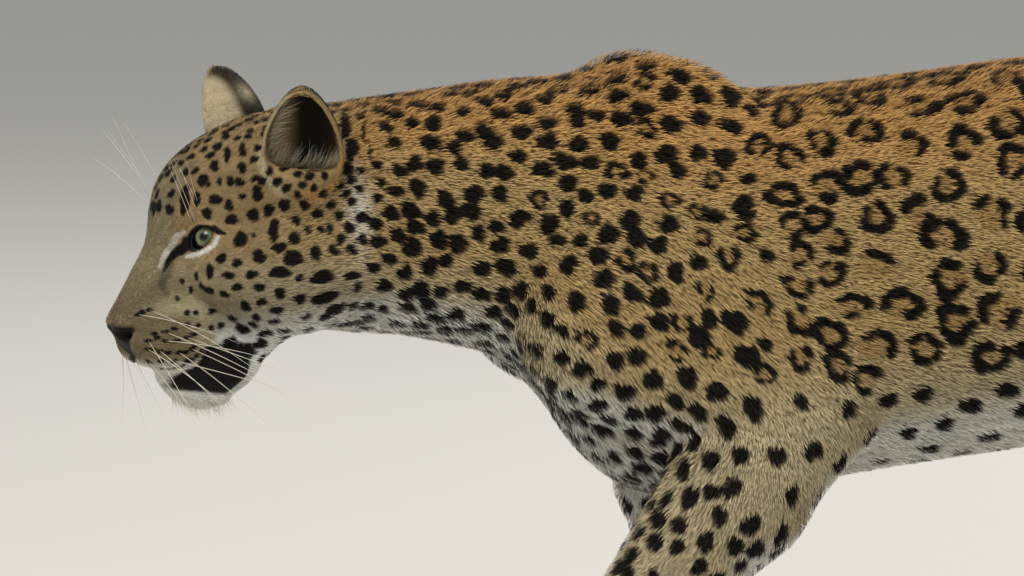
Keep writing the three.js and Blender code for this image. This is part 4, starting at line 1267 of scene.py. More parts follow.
class Markings:
    """Spots and rosettes, each with its place, axes, sizes and ragged outline."""

    BLOBS = 5
    NEAREST = 4
    TRIES = 48000
    ROOM = 6000
    SAMPLE = 24000
    SETTLINGS = 3
    CLOSEST = 0.41
    FACE_GAP = 1.35
    LARGE_SPOT, LARGE_SPOT_SHARE = 20, 0.66
    RING, RING_HALF, BLOB_HALF_ANGLE = 0.74, 0.33, 0.76
    RAGGED = ((2, 0.10), (3, 0.08), (5, 0.05))
    EAR_MARGIN, SOLE_MARGIN = 3.0, 6

    def __init__(self, body: Body, skin: "Skin", face: SeenFace) -> None:
        """Places the marks of the face one by one, then scatters the rest over the skin.

        Args:
            body: The animal's field.
            skin: The skin, with its normals and the way of the hair.
            face: Finds places of the photograph on the skin.
        """
        self.body, self.face = body, face
        self.points, self.normals, self.lay = skin.points, skin.normals, skin.flow
        self.rng = np.random.default_rng(SEED)
        self.tree = point_tree(self.points)
        self.rows: list[tuple[int, Array, float, float, Mark]] = []
        self.place_face_marks()
        self.scatter()
        self.finish_rows()

    def place_face_marks(self) -> None:
        """Marks of the near side of the face, and the same on the far side, a little varied."""
        camera = Camera()
        right, up, _ = camera.axes()
        dots = [(x, y, *DOT_SIZE) for x, y in WHISKER_DOTS]
        for x, y, w, h in [*FACE_MARKS, *dots]:
            vertex = self.face.find(x, y)
            n = self.normals[vertex]
            e1 = unit(right - n * (right @ n))
            width = w / camera.pixels_per_mm / max(0.55, float(e1 @ right))
            height = h / camera.pixels_per_mm / max(0.55, float(unit(up - n * (up @ n)) @ up))
            self.rows.append((vertex, e1, width, height, Mark.SPOT))
            place = to_head(self.points[vertex])
            if abs(place[1]) < 9:
                continue
            jitter = self.rng.normal(0, 2.0, 3)
            other = self.tree.find(from_head(place * (1, -1, 1) + jitter).tolist())[1]
            m = self.normals[other]
            e1 = unit(right - m * (right @ m))
            grow = 1 + self.rng.normal(0, 0.1)
            self.rows.append((other, e1, width * grow, height * grow, Mark.SPOT))

    def plan(self) -> tuple[Array, Array, Array]:
        """Spacing, size and share of rosettes at every point."""
        p, n = self.points, self.normals
        x, z = p[:, 0], p[:, 2]
        at = (-270, -160, -60, 40, 110, 200, 500, 620, 720, 1180)
        pitch = np.interp(x, at, (18, 18.5, 20, 22, 29, 36.5, 37.5, 33, 25, 24))
        size = np.interp(x, at, (14, 15, 15.5, 17, 25, 30.5, 31.5, 28, 20, 20))
        rosettes = np.interp(x, (-120, -20, 60, 140, 600, 690), (0, 0.2, 0.6, 1, 1, 0))
        leg = smoothstep(345, 270, z) * (x > -170) * (x < 745)
        low = ((0, 60, 120, 220, 300), (11, 12.5, 16.5, 20, 22), (7, 8.5, 12.5, 16, 18))
        pitch = pitch + (np.interp(z, low[0], low[1]) - pitch) * leg
        size = size + (np.interp(z, low[0], low[2]) - size) * leg
        rosettes = rosettes * (1 - smoothstep(0.2, 0.7, leg))
        v = height_share(p, self.body.trunk)
        belly = smoothstep(0.24, 0.10, v) * (x > 60) * (x < 560) * (z > 180)
        pitch, size = pitch + (34 - pitch) * belly, size + (26 - size) * belly
        rosettes = rosettes * (belly < 0.5)
        spine = (n[:, 2] > 0.86) * (np.abs(p[:, 1]) < 22) * (x > -220) * (x < 640)
        pitch, size = np.where(spine, 24, pitch), np.where(spine, 18, size)
        rosettes = rosettes * (1 - spine)
        u = to_head(p)[:, 0]
        head = smoothstep(30, -20, u)
        pitch, size = pitch + (14.5 - pitch) * head, size + (10.0 - size) * head
        crown = head * smoothstep(445, 465, z)
        pitch, size = pitch + (9.5 - pitch) * crown, size + (7.8 - size) * crown
        return pitch, size, rosettes * (1 - head)

    def allowed(self) -> Array:
        """Points where scattered marks may lie: not on the muzzle, throat's middle or ears."""
        h = to_head(self.points)
        muzzle = ((h[:, 0] < -118) & (h[:, 2] < 450)) | ((h[:, 0] < -60) & (h[:, 2] < 330))
        ear = np.zeros(len(h), bool)
        for bowl in self.body.ears[::2]:
            ear |= bowl.distance(*self.points.T) < self.EAR_MARGIN
        sole = self.points[:, 2] < self.SOLE_MARGIN
        return ~(muzzle | ear | sole)

    def scatter(self) -> None:
        """Throws marks over the skin at their spacing and lets them settle apart."""
        pitch, size, rosettes = self.plan()
        lots = np.flatnonzero(self.allowed())
        tries = self.rng.permutation(lots)[: self.TRIES]
        fixed = len(self.rows)
        kept = [row[0] for row in self.rows]
        places = np.zeros((self.ROOM, 3))
        gaps = np.zeros(self.ROOM)
        places[:fixed] = self.points[kept]
        gaps[:fixed] = [max(row[2], row[3]) * self.FACE_GAP for row in self.rows]
        count = fixed
        for i in tries:
            away = np.linalg.norm(places[:count] - self.points[i], axis=1)
            if (away > self.CLOSEST * (gaps[:count] + pitch[i])).all():
                places[count], gaps[count] = self.points[i], pitch[i]
                kept.append(int(i))
                count += 1
        sample = self.rng.permutation(lots)[: self.SAMPLE]
        for _ in range(self.SETTLINGS):
            centres = self.points[kept].astype(np.float32)
            owner = self.nearest_owner(self.points[sample].astype(np.float32), centres)
            for k in range(fixed, count):
                mine = sample[owner == k]
                if len(mine) > 3:
                    kept[k] = self.tree.find(self.points[mine].mean(0).tolist())[1]
        for k in range(fixed, count):
            i = kept[k]
            wide = size[i] * self.rng.uniform(0.86, 1.14)
            stretch = self.rng.uniform(1.0, 1.3)
            kind = Mark.ROSETTE if self.rng.random() < rosettes[i] else Mark.SPOT
            if kind is Mark.SPOT and size[i] > self.LARGE_SPOT:
                wide *= self.LARGE_SPOT_SHARE
            e1 = unit(self.lay[i] - self.normals[i] * (self.lay[i] @ self.normals[i]))
            self.rows.append((i, e1, wide * math.sqrt(stretch), wide / math.sqrt(stretch), kind))
        log.info("marks: %d by hand, %d scattered", fixed, count - fixed)

    @staticmethod
    def nearest_owner(points: Array, centres: Array) -> Array:
        """The nearest centre to each point."""
        away = (points**2).sum(1)[:, None] - 2 * points @ centres.T + (centres**2).sum(1)[None]
        return away.argmin(1)

    def finish_rows(self) -> None:
        """Turns the rows into arrays and draws each mark's outline."""
        rng, count = self.rng, len(self.rows)
        i = np.array([row[0] for row in self.rows])
        self.centre, self.out = self.points[i], self.normals[i]
        self.across = np.array([row[1] for row in self.rows])
        self.down = np.cross(self.out, self.across)
        self.half = np.array([[row[2] / 2, row[3] / 2] for row in self.rows])
        self.rosette = np.array([row[4] is Mark.ROSETTE for row in self.rows])
        self.phase = rng.uniform(0, 2 * math.pi, (count, 3))
        self.blob_angle = (
            np.arange(self.BLOBS) * 2 * math.pi / self.BLOBS
            + rng.uniform(0, 2 * math.pi, (count, 1))
            + rng.normal(0, 0.22, (count, self.BLOBS))
        )
        self.blob_size = rng.uniform(0.78, 1.10, (count, self.BLOBS))
        self.blob_size[rng.random((count, self.BLOBS)) < 0.14] = 0.0

    def nearest(self, points: Array) -> Array:
        """The nearest marks to each point."""
        tree = point_tree(self.centre)
        return np.array([[hit[1] for hit in tree.find_n(p, self.NEAREST)] for p in points.tolist()])

    def shade(self, p: Array, near: Array) -> tuple[Array, Array]:
        """How black and how brown the marks are at places.

        Args:
            p: The places.
            near: The nearest marks to each.

        Returns:
            The share of black and the share of the brown inside rosettes.
        """
        black, brown = np.zeros(len(p)), np.zeros(len(p))
        for column in near.T:
            q = p - self.centre[column]
            a = (q * self.across[column]).sum(1) / self.half[column, 0]
            b = (q * self.down[column]).sum(1) / self.half[column, 1]
            depth = np.abs((q * self.out[column]).sum(1))
            size = self.half[column].mean(1)
            r = np.sqrt(a * a + b * b)
            turn = np.arctan2(b, a)
            waves = [
                share * np.cos(times * turn + self.phase[column, i])
                for i, (times, share) in enumerate(self.RAGGED)
            ]
            r = r / (1 + waves[0] + waves[1] + waves[2])
            soft = np.minimum(0.9 / size, 0.28)
            on = (r < 1.5) & (depth < np.maximum(size, 9))
            spot = smoothstep(1 + soft, 1 - soft, r) * on
            ring = np.zeros(len(p))
            for k in range(self.BLOBS):
                gap = (turn - self.blob_angle[column, k] + math.pi) % (2 * math.pi) - math.pi
                grow = np.maximum(self.blob_size[column, k], 1e-3)
                long = np.abs(gap) / (self.BLOB_HALF_ANGLE * grow)
                thick = np.abs(r - self.RING) / (self.RING_HALF * grow)
                reach = np.cbrt(long**3 + thick**3)
                ring = np.maximum(ring, smoothstep(1 + soft * 2.4, 1 - soft * 2.4, reach))
            rosette = self.rosette[column]
            black = np.maximum(black, np.where(rosette, ring * on, spot))
            brown = np.maximum(brown, np.where(rosette, smoothstep(0.92, 0.7, r) * on, 0))
        return black, brown


class Paint:
    """Colour and marks of skin and coat, worked out the same way for both."""

    def __init__(self, ground: Ground, markings: Markings) -> None:
        """Keeps the ground colour and the markings."""
        self.ground, self.markings = ground, markings

    def layers(self, p: Array, n: Array, near: Array) -> tuple[Array, Array]:
        """The two colour layers at places.

        Args:
            p: The places.
            n: Outward directions.
            near: The nearest marks to each.

        Returns:
            Ground colour, and the shares of black, rosette brown and bare skin.
        """
        black, brown = self.markings.shade(p, near)
        bare = self.ground.bare(p, n)
        black = np.maximum(black, self.drawn_marks(p))
        ground = np.ones((len(p), 4))
        ground[:, :3] = self.ground.colour(p, n)
        marks = np.stack([black, brown, bare, np.ones(len(p))], 1)
        return ground, marks

    def drawn_marks(self, p: Array) -> Array:
        """The wedges at both corners of the eye and the tail's last rings."""
        h = to_head(p)
        lines = self.ground.black_lines
        black = np.maximum.reduce([most * near_line(h, line) for line, most in lines])
        tail = p[:, 0] > 1040
        if tail.any():
            along = (p[tail] - (1040, 0, 140)) @ unit((0.8, -0.1, 0.6))
            ring = smoothstep(0.35, 0.6, np.cos(along * 2 * math.pi / 34 + 0.4))
            end = smoothstep(135, 150, along)
            black[tail] = np.maximum(ring * 0.95, end)
        return black


# Materials


def new_material(name: str):
    """A material with an empty tree and its output."""
    material = bpy.data.materials.new(name)
    material.use_nodes = True
    tree = material.node_tree
    tree.nodes.clear()
    return material, tree, add_node(tree, "ShaderNodeOutputMaterial")


def surface(tree, out, inputs: dict):
    """A Principled surface with its inputs, linked to the material's output."""
    bsdf = add_node(tree, "ShaderNodeBsdfPrincipled", inputs)
    tree.links.new(bsdf.outputs[0], out.inputs[0])
    return bsdf


@dataclass(frozen=True)
class Fur:
    """Short guard hair of a big cat: soft sheen along the hair, darker at the root.

    The hair is keratin, grown and groomed flat. It gives the eye a soft satin with fine
    streaks and clumps.
    """

    name: str = "Guard hair, short and groomed flat"
    black: str = "#050403"
    rosette: str = "#94703f"
    leather: str = "#0b0808"
    roughness: float = 0.7
    ior: float = 1.55
    sheen: float = 0.04
    specular: float = 0.12
    clump_mm: float = 9.0
    streak_mm: float = 1.6
    on_skin: bool = False

    def build(self):
        """The material."""
        material, tree, out = new_material(self.name)
        ground = add_node(tree, "ShaderNodeAttribute", attribute_name="coat_ground")
        marks = add_node(tree, "ShaderNodeAttribute", attribute_name="coat_marks")
        parts = add_node(tree, "ShaderNodeSeparateColor", {"Color": marks.outputs["Color"]})
        where = add_node(tree, "ShaderNodeTexCoord").outputs["Object"]
        clump = self.noise(tree, where, 1000.0 / self.clump_mm, (0.35, 1.0, 1.0), 2.0)
        streak = self.noise(tree, where, 1000.0 / self.streak_mm, (0.16, 1.0, 0.7), 3.0)
        shade = self.shade(tree, clump, streak, ground.outputs["Alpha"])
        coat = self.mixed(tree, ground.outputs["Color"], linear(self.rosette), parts.outputs[1], 0.5)
        lit = add_node(tree, "ShaderNodeMix", data_type="RGBA", blend_type="MULTIPLY")
        lit.inputs[0].default_value = 1.0
        tree.links.new(coat, lit.inputs[6])
        tree.links.new(shade, lit.inputs[7])
        dark = self.mixed(tree, lit.outputs[2], linear(self.black), parts.outputs[0], 0.99)
        last = self.mixed(tree, dark, linear(self.leather), parts.outputs[2], 1.0)
        bsdf = surface(
            tree, out,
            {"Base Color": last, "Roughness": self.roughness, "IOR": self.ior,
             "Sheen Weight": self.sheen, "Sheen Roughness": 0.4,
             "Specular IOR Level": self.specular},
        )
        if self.on_skin:
            self.bump(tree, bsdf, streak, where, parts.outputs[2])
        return material

    @staticmethod
    def noise(tree, where, scale: float, stretch: Vec, detail: float):
        """A noise stretched along the lie of the coat."""
        mapped = add_node(tree, "ShaderNodeMapping", {"Vector": where, "Scale": stretch})
        made = add_node(
            tree, "ShaderNodeTexNoise",
            {"Vector": mapped.outputs[0], "Scale": scale, "Detail": detail, "Roughness": 0.6},
        )
        return made.outputs["Fac"]

    @staticmethod
    def mixed(tree, a, b, share, most: float):
        """Colour b laid over colour a by a share, at most "most"."""
        fac = add_node(tree, "ShaderNodeMath", {0: share, 1: most}, operation="MULTIPLY")
        mix = add_node(tree, "ShaderNodeMix", data_type="RGBA")
        tree.links.new(fac.outputs[0], mix.inputs[0])
        tree.links.new(a, mix.inputs[6])
        mix.inputs[7].default_value = (*b, 1.0)
        return mix.outputs[2]

    @staticmethod
    def shade(tree, clump, streak, along):
        """Light and dark of clumps and streaks, and darker roots."""
        shades = []
        for value, low, high, dark, light in (
            (clump, 0.3, 0.7, 0.86, 1.12), (streak, 0.3, 0.7, 0.88, 1.12), (along, 0.0, 1.0, 0.72, 1.1),
        ):
            spans = {"From Min": low, "From Max": high, "To Min": dark, "To Max": light}
            node = add_node(tree, "ShaderNodeMapRange", {"Value": value, **spans})
            shades.append(node.outputs[0])
        total = shades[0]
        for other in shades[1:]:
            total = add_node(tree, "ShaderNodeMath", {0: total, 1: other}, operation="MULTIPLY").outputs[0]
        return add_node(tree, "ShaderNodeCombineColor", {0: total, 1: total, 2: total}).outputs[0]

    @staticmethod
    def bump(tree, bsdf, streak, where, bare) -> None:
        """Hair streaks on the skin, and grain of about 1 mm on the bare leather of nose and lips."""
        grain = add_node(
            tree, "ShaderNodeTexVoronoi", {"Vector": where, "Scale": 900.0}
        ).outputs["Distance"]
        mix = add_node(tree, "ShaderNodeMix", {0: bare, 2: streak, 3: grain})
        made = add_node(
            tree, "ShaderNodeBump",
            {"Height": mix.outputs[0], "Strength": 0.5, "Distance": 0.0012},
        )
        tree.links.new(made.outputs[0], bsdf.inputs["Normal"])


# Pieces


class Skin:
    """One closed skin over the whole animal."""

    BAND = 8.0
    SHADE = 0.45

    def __init__(self, body: Body) -> None:
        """Meshes the skin and works out its normals and the lie of the hair."""
        self.body = body
        axes = Lattice().axes()
        values = body.lattice(axes)
        np.clip(values, -self.BAND, self.BAND, out=values)
        grid = openvdb.FloatGrid(self.BAND)
        grid.copyFromArray(values)
        places, tris, quads = grid.convertToPolygons(isovalue=0.0, adaptivity=0.0)
        points = np.stack(
            [np.interp(places[:, i], np.arange(len(a)), a) for i, a in enumerate(axes)], 1
        )
        self.quads = np.asarray(quads, np.int32)
        self.tris = np.asarray(tris, np.int32).reshape(-1, 3)
        self.points = body.settle(points, passes=2, most=0.9)
        self.normals = unit(body.slope(self.points, 0.7))
        lay = body.lay(self.points)
        self.flow = unit(lay - self.normals * (lay * self.normals).sum(1, keepdims=True))
        log.info("skin: %d points, %d faces", len(self.points), len(self.quads))

    def build(self, material, layers: tuple[Array, Array]):
        """The skin's object, shown in place of every node of flesh, which it hides."""
        obj = make_mesh("skin", self.points, self.quads, self.tris)
        ground, marks = layers
        ground = ground.copy()
        ground[:, 3] = self.SHADE
        colour_layer(obj, "coat_ground", ground)
        colour_layer(obj, "coat_marks", marks)
        dress(obj, material)
        flesh = [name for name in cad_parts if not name.endswith("_eye")]
        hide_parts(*flesh)
        return obj


@dataclass(frozen=True)
class Zone:
    """One piece of the coat: its name and which faces of the skin it grows from."""

    name: str
    holds: Callable[[Array], Array]


@dataclass(frozen=True)
class Hair:
    """How the tufts grow, by place: how many to a square millimetre, their length and width."""

    by_head: tuple = ((-215, -160, -100, -20, 60), (1.5, 1.3, 1.0, 0.55, 0.34))
    long_by_head: tuple = ((-215, -160, -100, -20, 60), (2.6, 3.2, 4.6, 6.8, 8.6))
    wide_by_head: tuple = ((-215, -160, -100, -20, 60), (0.38, 0.42, 0.50, 0.66, 0.80))
    by_height: tuple = ((0, 60, 130, 260, 340), (0.78, 0.69, 0.43, 0.31, 0.235))
    long_by_height: tuple = ((0, 60, 130, 260, 340), (3.6, 4.6, 6.2, 7.8, 9.2))
    wide_by_height: tuple = ((0, 60, 130, 260, 340), (0.45, 0.50, 0.62, 0.74, 0.85))
    tail_lift: float = 80.0
    tail_root: tuple = (690, 740)
    ear_reach: tuple = (52, 38)
    eye_reach: tuple = (30, 18)
    ear_count: float = 0.25
    ear_long: float = 0.45
    ear_wide: float = 0.3
    eye_long: float = 0.5

    def at(self, p: Array) -> tuple[Array, Array, Array]:
        """Count to a square millimetre, length and width at places."""
        u = to_head(p)[:, 0]
        z = p[:, 2] + self.tail_lift * smoothstep(*self.tail_root, p[:, 0])
        count = np.maximum(np.interp(u, *self.by_head), np.interp(z, *self.by_height))
        long = np.minimum(np.interp(u, *self.long_by_head), np.interp(z, *self.long_by_height))
        wide = np.minimum(np.interp(u, *self.wide_by_head), np.interp(z, *self.wide_by_height))
        h = to_head(p)
        for side in (LEFT, RIGHT):
            from_ear = np.linalg.norm(h - EAR_PLACES[side], axis=1)
            from_eye = np.linalg.norm(h - (EYE[0], side * EYE[1], EYE[2]), axis=1)
            ear, eye = smoothstep(*self.ear_reach, from_ear), smoothstep(*self.eye_reach, from_eye)
            count = count * (1 + self.ear_count * ear)
            long = long * (1 - self.ear_long * ear) * (1 - self.eye_long * eye)
            wide = wide * (1 - self.ear_wide * ear)
        return count, long, wide


def zones() -> list[Zone]:
    """The pieces of the coat from nose to tail."""

    def head(p: Array) -> Array:
        """How far back each place lies along the head."""
        return to_head(p)[:, 0]

    return [
        Zone("coat_face", lambda p: head(p) < -100),
        Zone("coat_crown", lambda p: (head(p) >= -100) & (head(p) < -10)),
        Zone("coat_neck", lambda p: (head(p) >= -10) & (p[:, 0] < -110)),
        *(
            Zone(
                f"coat_{part}_{name}",
                lambda p, a=a, b=b, s=s: (p[:, 0] >= a) & (p[:, 0] < b) & (p[:, 2] > 250)
                & (p[:, 1] * s >= 0),
            )
            for part, a, b in (("shoulder", -110, 160), ("flank", 160, 400), ("rump", 400, 700))
            for s, name in SIDE_NAMES.items()
        ),
        Zone("coat_forelegs", lambda p: (p[:, 0] >= -110) & (p[:, 0] < 250) & (p[:, 2] <= 250)),
        Zone("coat_hindlegs", lambda p: (p[:, 0] >= 250) & (p[:, 0] < 752) & (p[:, 2] <= 250)),
        Zone("coat_tail", lambda p: (p[:, 0] >= 700) & ((p[:, 2] > 250) | (p[:, 0] >= 752))),
    ]


class Coat:
    """Tufts of short fur over the skin, one piece for each zone."""

    SUNK = 0.5
    PATCH = 0.003
    SEEN = 0.65
    MOST = 64000
    SPARE = 1500
    POINTS = 5
    ALONG = (0.0, 0.0, 0.6, 0.6, 1.0)
    LOWEST_ROOT, LOWEST_HAIR = 2.5, 0.3
    ROLL_DEG = 28
    UNWRAP_DEG = 66
    SHADE_SPREAD = 0.09

    def __init__(self, skin: Skin, paint: Paint, near: Array, hair: Hair) -> None:
        """Keeps the skin that the tufts grow from and the paint that they carry."""
        self.skin, self.paint, self.near, self.hair = skin, paint, near, hair
        self.rng = np.random.default_rng(SEED + 1)
        corners = skin.points[skin.quads]
        self.middles = corners.mean(1)
        self.areas = 0.5 * np.linalg.norm(
            np.cross(corners[:, 2] - corners[:, 0], corners[:, 3] - corners[:, 1]), axis=1
        )
        self.bare = paint.ground.bare(self.middles, skin.normals[skin.quads[:, 0]])

    def unwrap(self, faces: Array) -> Array:
        """An unwrap of the skin's own shape for some of its faces.

        Args:
            faces: Numbers of the skin's faces.

        Returns:
            The places of each face's four corners in the unwrap.
        """
        used, quads = np.unique(self.skin.quads[faces], return_inverse=True)
        obj = make_mesh("unwrap", self.skin.points[used], quads.reshape(-1, 4))
        bpy.context.view_layer.objects.active = obj
        obj.select_set(True)
        bpy.ops.object.mode_set(mode="EDIT")
        bpy.ops.mesh.select_all(action="SELECT")
        bpy.ops.uv.smart_project(angle_limit=math.radians(self.UNWRAP_DEG), island_margin=0.004)
        bpy.ops.object.mode_set(mode="OBJECT")
        uv = np.empty(len(obj.data.loops) * 2, np.float32)
        obj.data.uv_layers.active.data.foreach_get("uv", uv)
        mesh = obj.data
        bpy.data.objects.remove(obj)
        bpy.data.meshes.remove(mesh)
        return uv.reshape(-1, 4, 2)

    def build(self, zone: Zone, material):
        """The tufts of one zone.

        Args:
            zone: The zone.
            material: The fur.

        Returns:
            The piece's object.
        """
        faces = np.flatnonzero(zone.holds(self.middles))
        count, _, _ = self.hair.at(self.middles[faces])
        expected = count * self.areas[faces] * np.where(self.bare[faces] > 0.5, 0.0, 1.0)
        expected *= self.middles[faces][:, 2] > self.LOWEST_ROOT
        expected *= min(1.0, self.MOST / expected.sum())
        grown = self.rng.poisson(expected)
        row = np.repeat(np.arange(len(faces)), grown)[: self.MOST + self.SPARE]
        s, t = self.rng.random((2, len(row), 1))
        weights = np.concatenate([(1 - s) * (1 - t), s * (1 - t), s * t, (1 - s) * t], 1)
        corner = self.skin.quads[faces[row]]

        def spread(values: Array) -> Array:
            return (values[corner] * weights[:, :, None]).sum(1)

        root, out = spread(self.skin.points), unit(spread(self.skin.normals))
        points = self.grow(root, out, unit(spread(self.skin.flow)))
        first = np.arange(len(root))[:, None] * self.POINTS
        obj = make_mesh(zone.name, points, first + [0, 1, 3, 2], first + [2, 3, 4])
        seen = root + self.SEEN * (points[self.POINTS - 1 :: self.POINTS] - root)
        ground, marks = self.paint.layers(seen, out, self.near[corner[:, 0]])
        ground[:, :3] *= self.rng.normal(1.0, self.SHADE_SPREAD, (len(root), 1)).clip(0.75, 1.25)
        ground = np.repeat(ground, self.POINTS, 0)
        ground[:, 3] = np.tile(self.ALONG, len(root))
        colour_layer(obj, "coat_ground", ground)
        colour_layer(obj, "coat_marks", np.repeat(marks, self.POINTS, 0))
        self.lay_patches(obj, (self.unwrap(faces)[row] * weights[:, :, None]).sum(1))
        dress(obj, material)
        log.info("%s: %d tufts", zone.name, len(root))
        return obj

    def grow(self, root: Array, out: Array, flow: Array) -> Array:
        """Five points for each tuft: two at the root, two in the middle and the tip.

        Args:
            root: Places on the skin.
            out: Outward directions.
            flow: The lie of the hair.

        Returns:
            The points, five rows a tuft.
        """
        rng, n = self.rng, len(root)
        _, long, wide = self.hair.at(root)
        depth = coat_depth(*(root[:, i : i + 1] for i in range(3)))[:, 0]
        clump = np.sin(root @ (0.31, 0.17, 0.23)) + np.sin(root @ (-0.13, 0.29, 0.37) + 1.3)
        side = np.cross(out, flow)
        swing = (rng.normal(0, 0.10, n) + 0.06 * clump)[:, None]
        ahead = unit(flow + swing * side)
        roll = np.radians(rng.uniform(-self.ROLL_DEG, self.ROLL_DEG, n))[:, None]
        across = unit(np.cross(out, ahead)) * np.cos(roll) + out * np.sin(roll)
        long = (long * rng.uniform(0.75, 1.2, n))[:, None]
        half = (wide * rng.uniform(0.8, 1.2, n) / 2)[:, None]
        rise = (depth * (1.0 + rng.normal(0, 0.09, n) + 0.05 * clump).clip(0.6, 1.35))[:, None]
        base = root - self.SUNK * out
        middle = root + 0.5 * long * ahead + 0.72 * rise * out
        tip = root + 0.97 * long * ahead + rise * out
        points = np.stack(
            [base - half * 0.8 * across, base + half * 0.8 * across,
             middle - half * across, middle + half * across, tip], 1
        ).reshape(-1, 3)
        points[:, 2] = np.maximum(points[:, 2], self.LOWEST_HAIR)
        return points

    def lay_patches(self, obj, centre: Array) -> None:
        """Each tuft's patch in the map OFBake, at its root's place on the unwrap."""
        h = self.PATCH / 2
        corners = {0: (-h, -h), 1: (h, -h), 2: (-h, h * 0.3), 3: (h, h * 0.3), 4: (0.0, h)}
        order_quad, order_tri = (0, 1, 3, 2), (2, 3, 4)
        quads = np.stack([centre + corners[k] for k in order_quad], 1).reshape(-1, 2)
        tris = np.stack([centre + corners[k] for k in order_tri], 1).reshape(-1, 2)
        layer = obj.data.uv_layers.new(name="OFBake")
        layer.data.foreach_set("uv", np.concatenate([quads, tris]).clip(0, 1).astype(np.float32).ravel())


@dataclass(frozen=True)
class EyeFinish:
    """A big cat's eye: a pale grey-green iris under a wet, clear cornea.

    It is living tissue under a film of tears, and gives the eye one sharp highlight.
    """

    name: str = "Eye, moist cornea over a grey-green iris"
    pupil: str = "#070605"
    inner: str = "#50543a"
    outer: str = "#677052"
    ring: str = "#14100b"
    white: str = "#0c0908"
    ior: float = 1.38

    def build(self):
        """The material, which reads the distance from the eye's axis in millimetres."""
        material, tree, out = new_material(self.name)
        away = add_node(tree, "ShaderNodeAttribute", attribute_name="from_axis")
        where = add_node(tree, "ShaderNodeTexCoord").outputs["Object"]
        fibre = add_node(
            tree, "ShaderNodeTexNoise", {"Vector": where, "Scale": 900.0, "Detail": 4.0}
        )
        shift = add_node(
            tree, "ShaderNodeMath", {0: fibre.outputs["Fac"], 1: 0.09, 2: -0.045},
            operation="MULTIPLY_ADD",
        )
        reach = add_node(
            tree, "ShaderNodeMath", {0: away.outputs["Fac"], 1: shift.outputs[0]}, operation="ADD"
        )
        ramp = add_node(tree, "ShaderNodeValToRGB", {"Fac": reach.outputs[0]})
        stops = (
            (0.0, self.pupil), (0.25, self.pupil), (0.285, self.inner), (0.45, self.outer),
            (0.62, self.outer), (0.70, self.ring), (0.76, self.white), (1.0, self.white),
        )
        elements = ramp.color_ramp.elements
        for position, colour in stops[1:-1]:
            elements.new(position).color = (*linear(colour), 1.0)
        elements[0].color = (*linear(stops[0][1]), 1.0)
        elements[-1].color = (*linear(stops[-1][1]), 1.0)
        surface(
            tree, out,
            {"Base Color": ramp.outputs["Color"], "Roughness": 0.35, "IOR": self.ior,
             "Specular IOR Level": 0.15,
             "Coat Weight": 1.0, "Coat Roughness": 0.03, "Coat IOR": self.ior},
        )
        return material


@dataclass(frozen=True)
class Leather:
    """Bare dark skin with a fine grain: the rims of the lids. It looks black and a little moist."""

    name: str = "Bare eyelid skin, dark and moist"
    colour: str = "#120d0b"
    roughness: float = 0.38

    def build(self):
        """The material."""
        material, tree, out = new_material(self.name)
        where = add_node(tree, "ShaderNodeTexCoord").outputs["Object"]
        grain = add_node(tree, "ShaderNodeTexVoronoi", {"Vector": where, "Scale": 1400.0})
        made = add_node(
            tree, "ShaderNodeBump",
            {"Height": grain.outputs["Distance"], "Strength": 0.4, "Distance": 0.0004},
        )
        surface(
            tree, out,
            {"Base Color": (*linear(self.colour), 1.0), "Roughness": self.roughness,
             "Normal": made.outputs[0]},
        )
        return material


@dataclass(frozen=True)
class WhiskerFinish:
    """Whiskers and long pale hairs: stiff keratin, smooth and almost clear, so they catch light."""

    name: str = "Whisker, smooth pale keratin"
    pale: str = "#f2eee4"
    root: str = "#b9ab92"
    roughness: float = 0.35
    ior: float = 1.55

    def build(self):
        """The material, a little darker at the root."""
        material, tree, out = new_material(self.name)
        along = add_node(tree, "ShaderNodeAttribute", attribute_name="along")
        ramp = add_node(tree, "ShaderNodeMix", {0: along.outputs["Fac"]}, data_type="RGBA")
        ramp.inputs[6].default_value = (*linear(self.root), 1.0)
        ramp.inputs[7].default_value = (*linear(self.pale), 1.0)
        surface(
            tree, out, {"Base Color": ramp.outputs[2], "Roughness": self.roughness, "IOR": self.ior}
        )
        return material


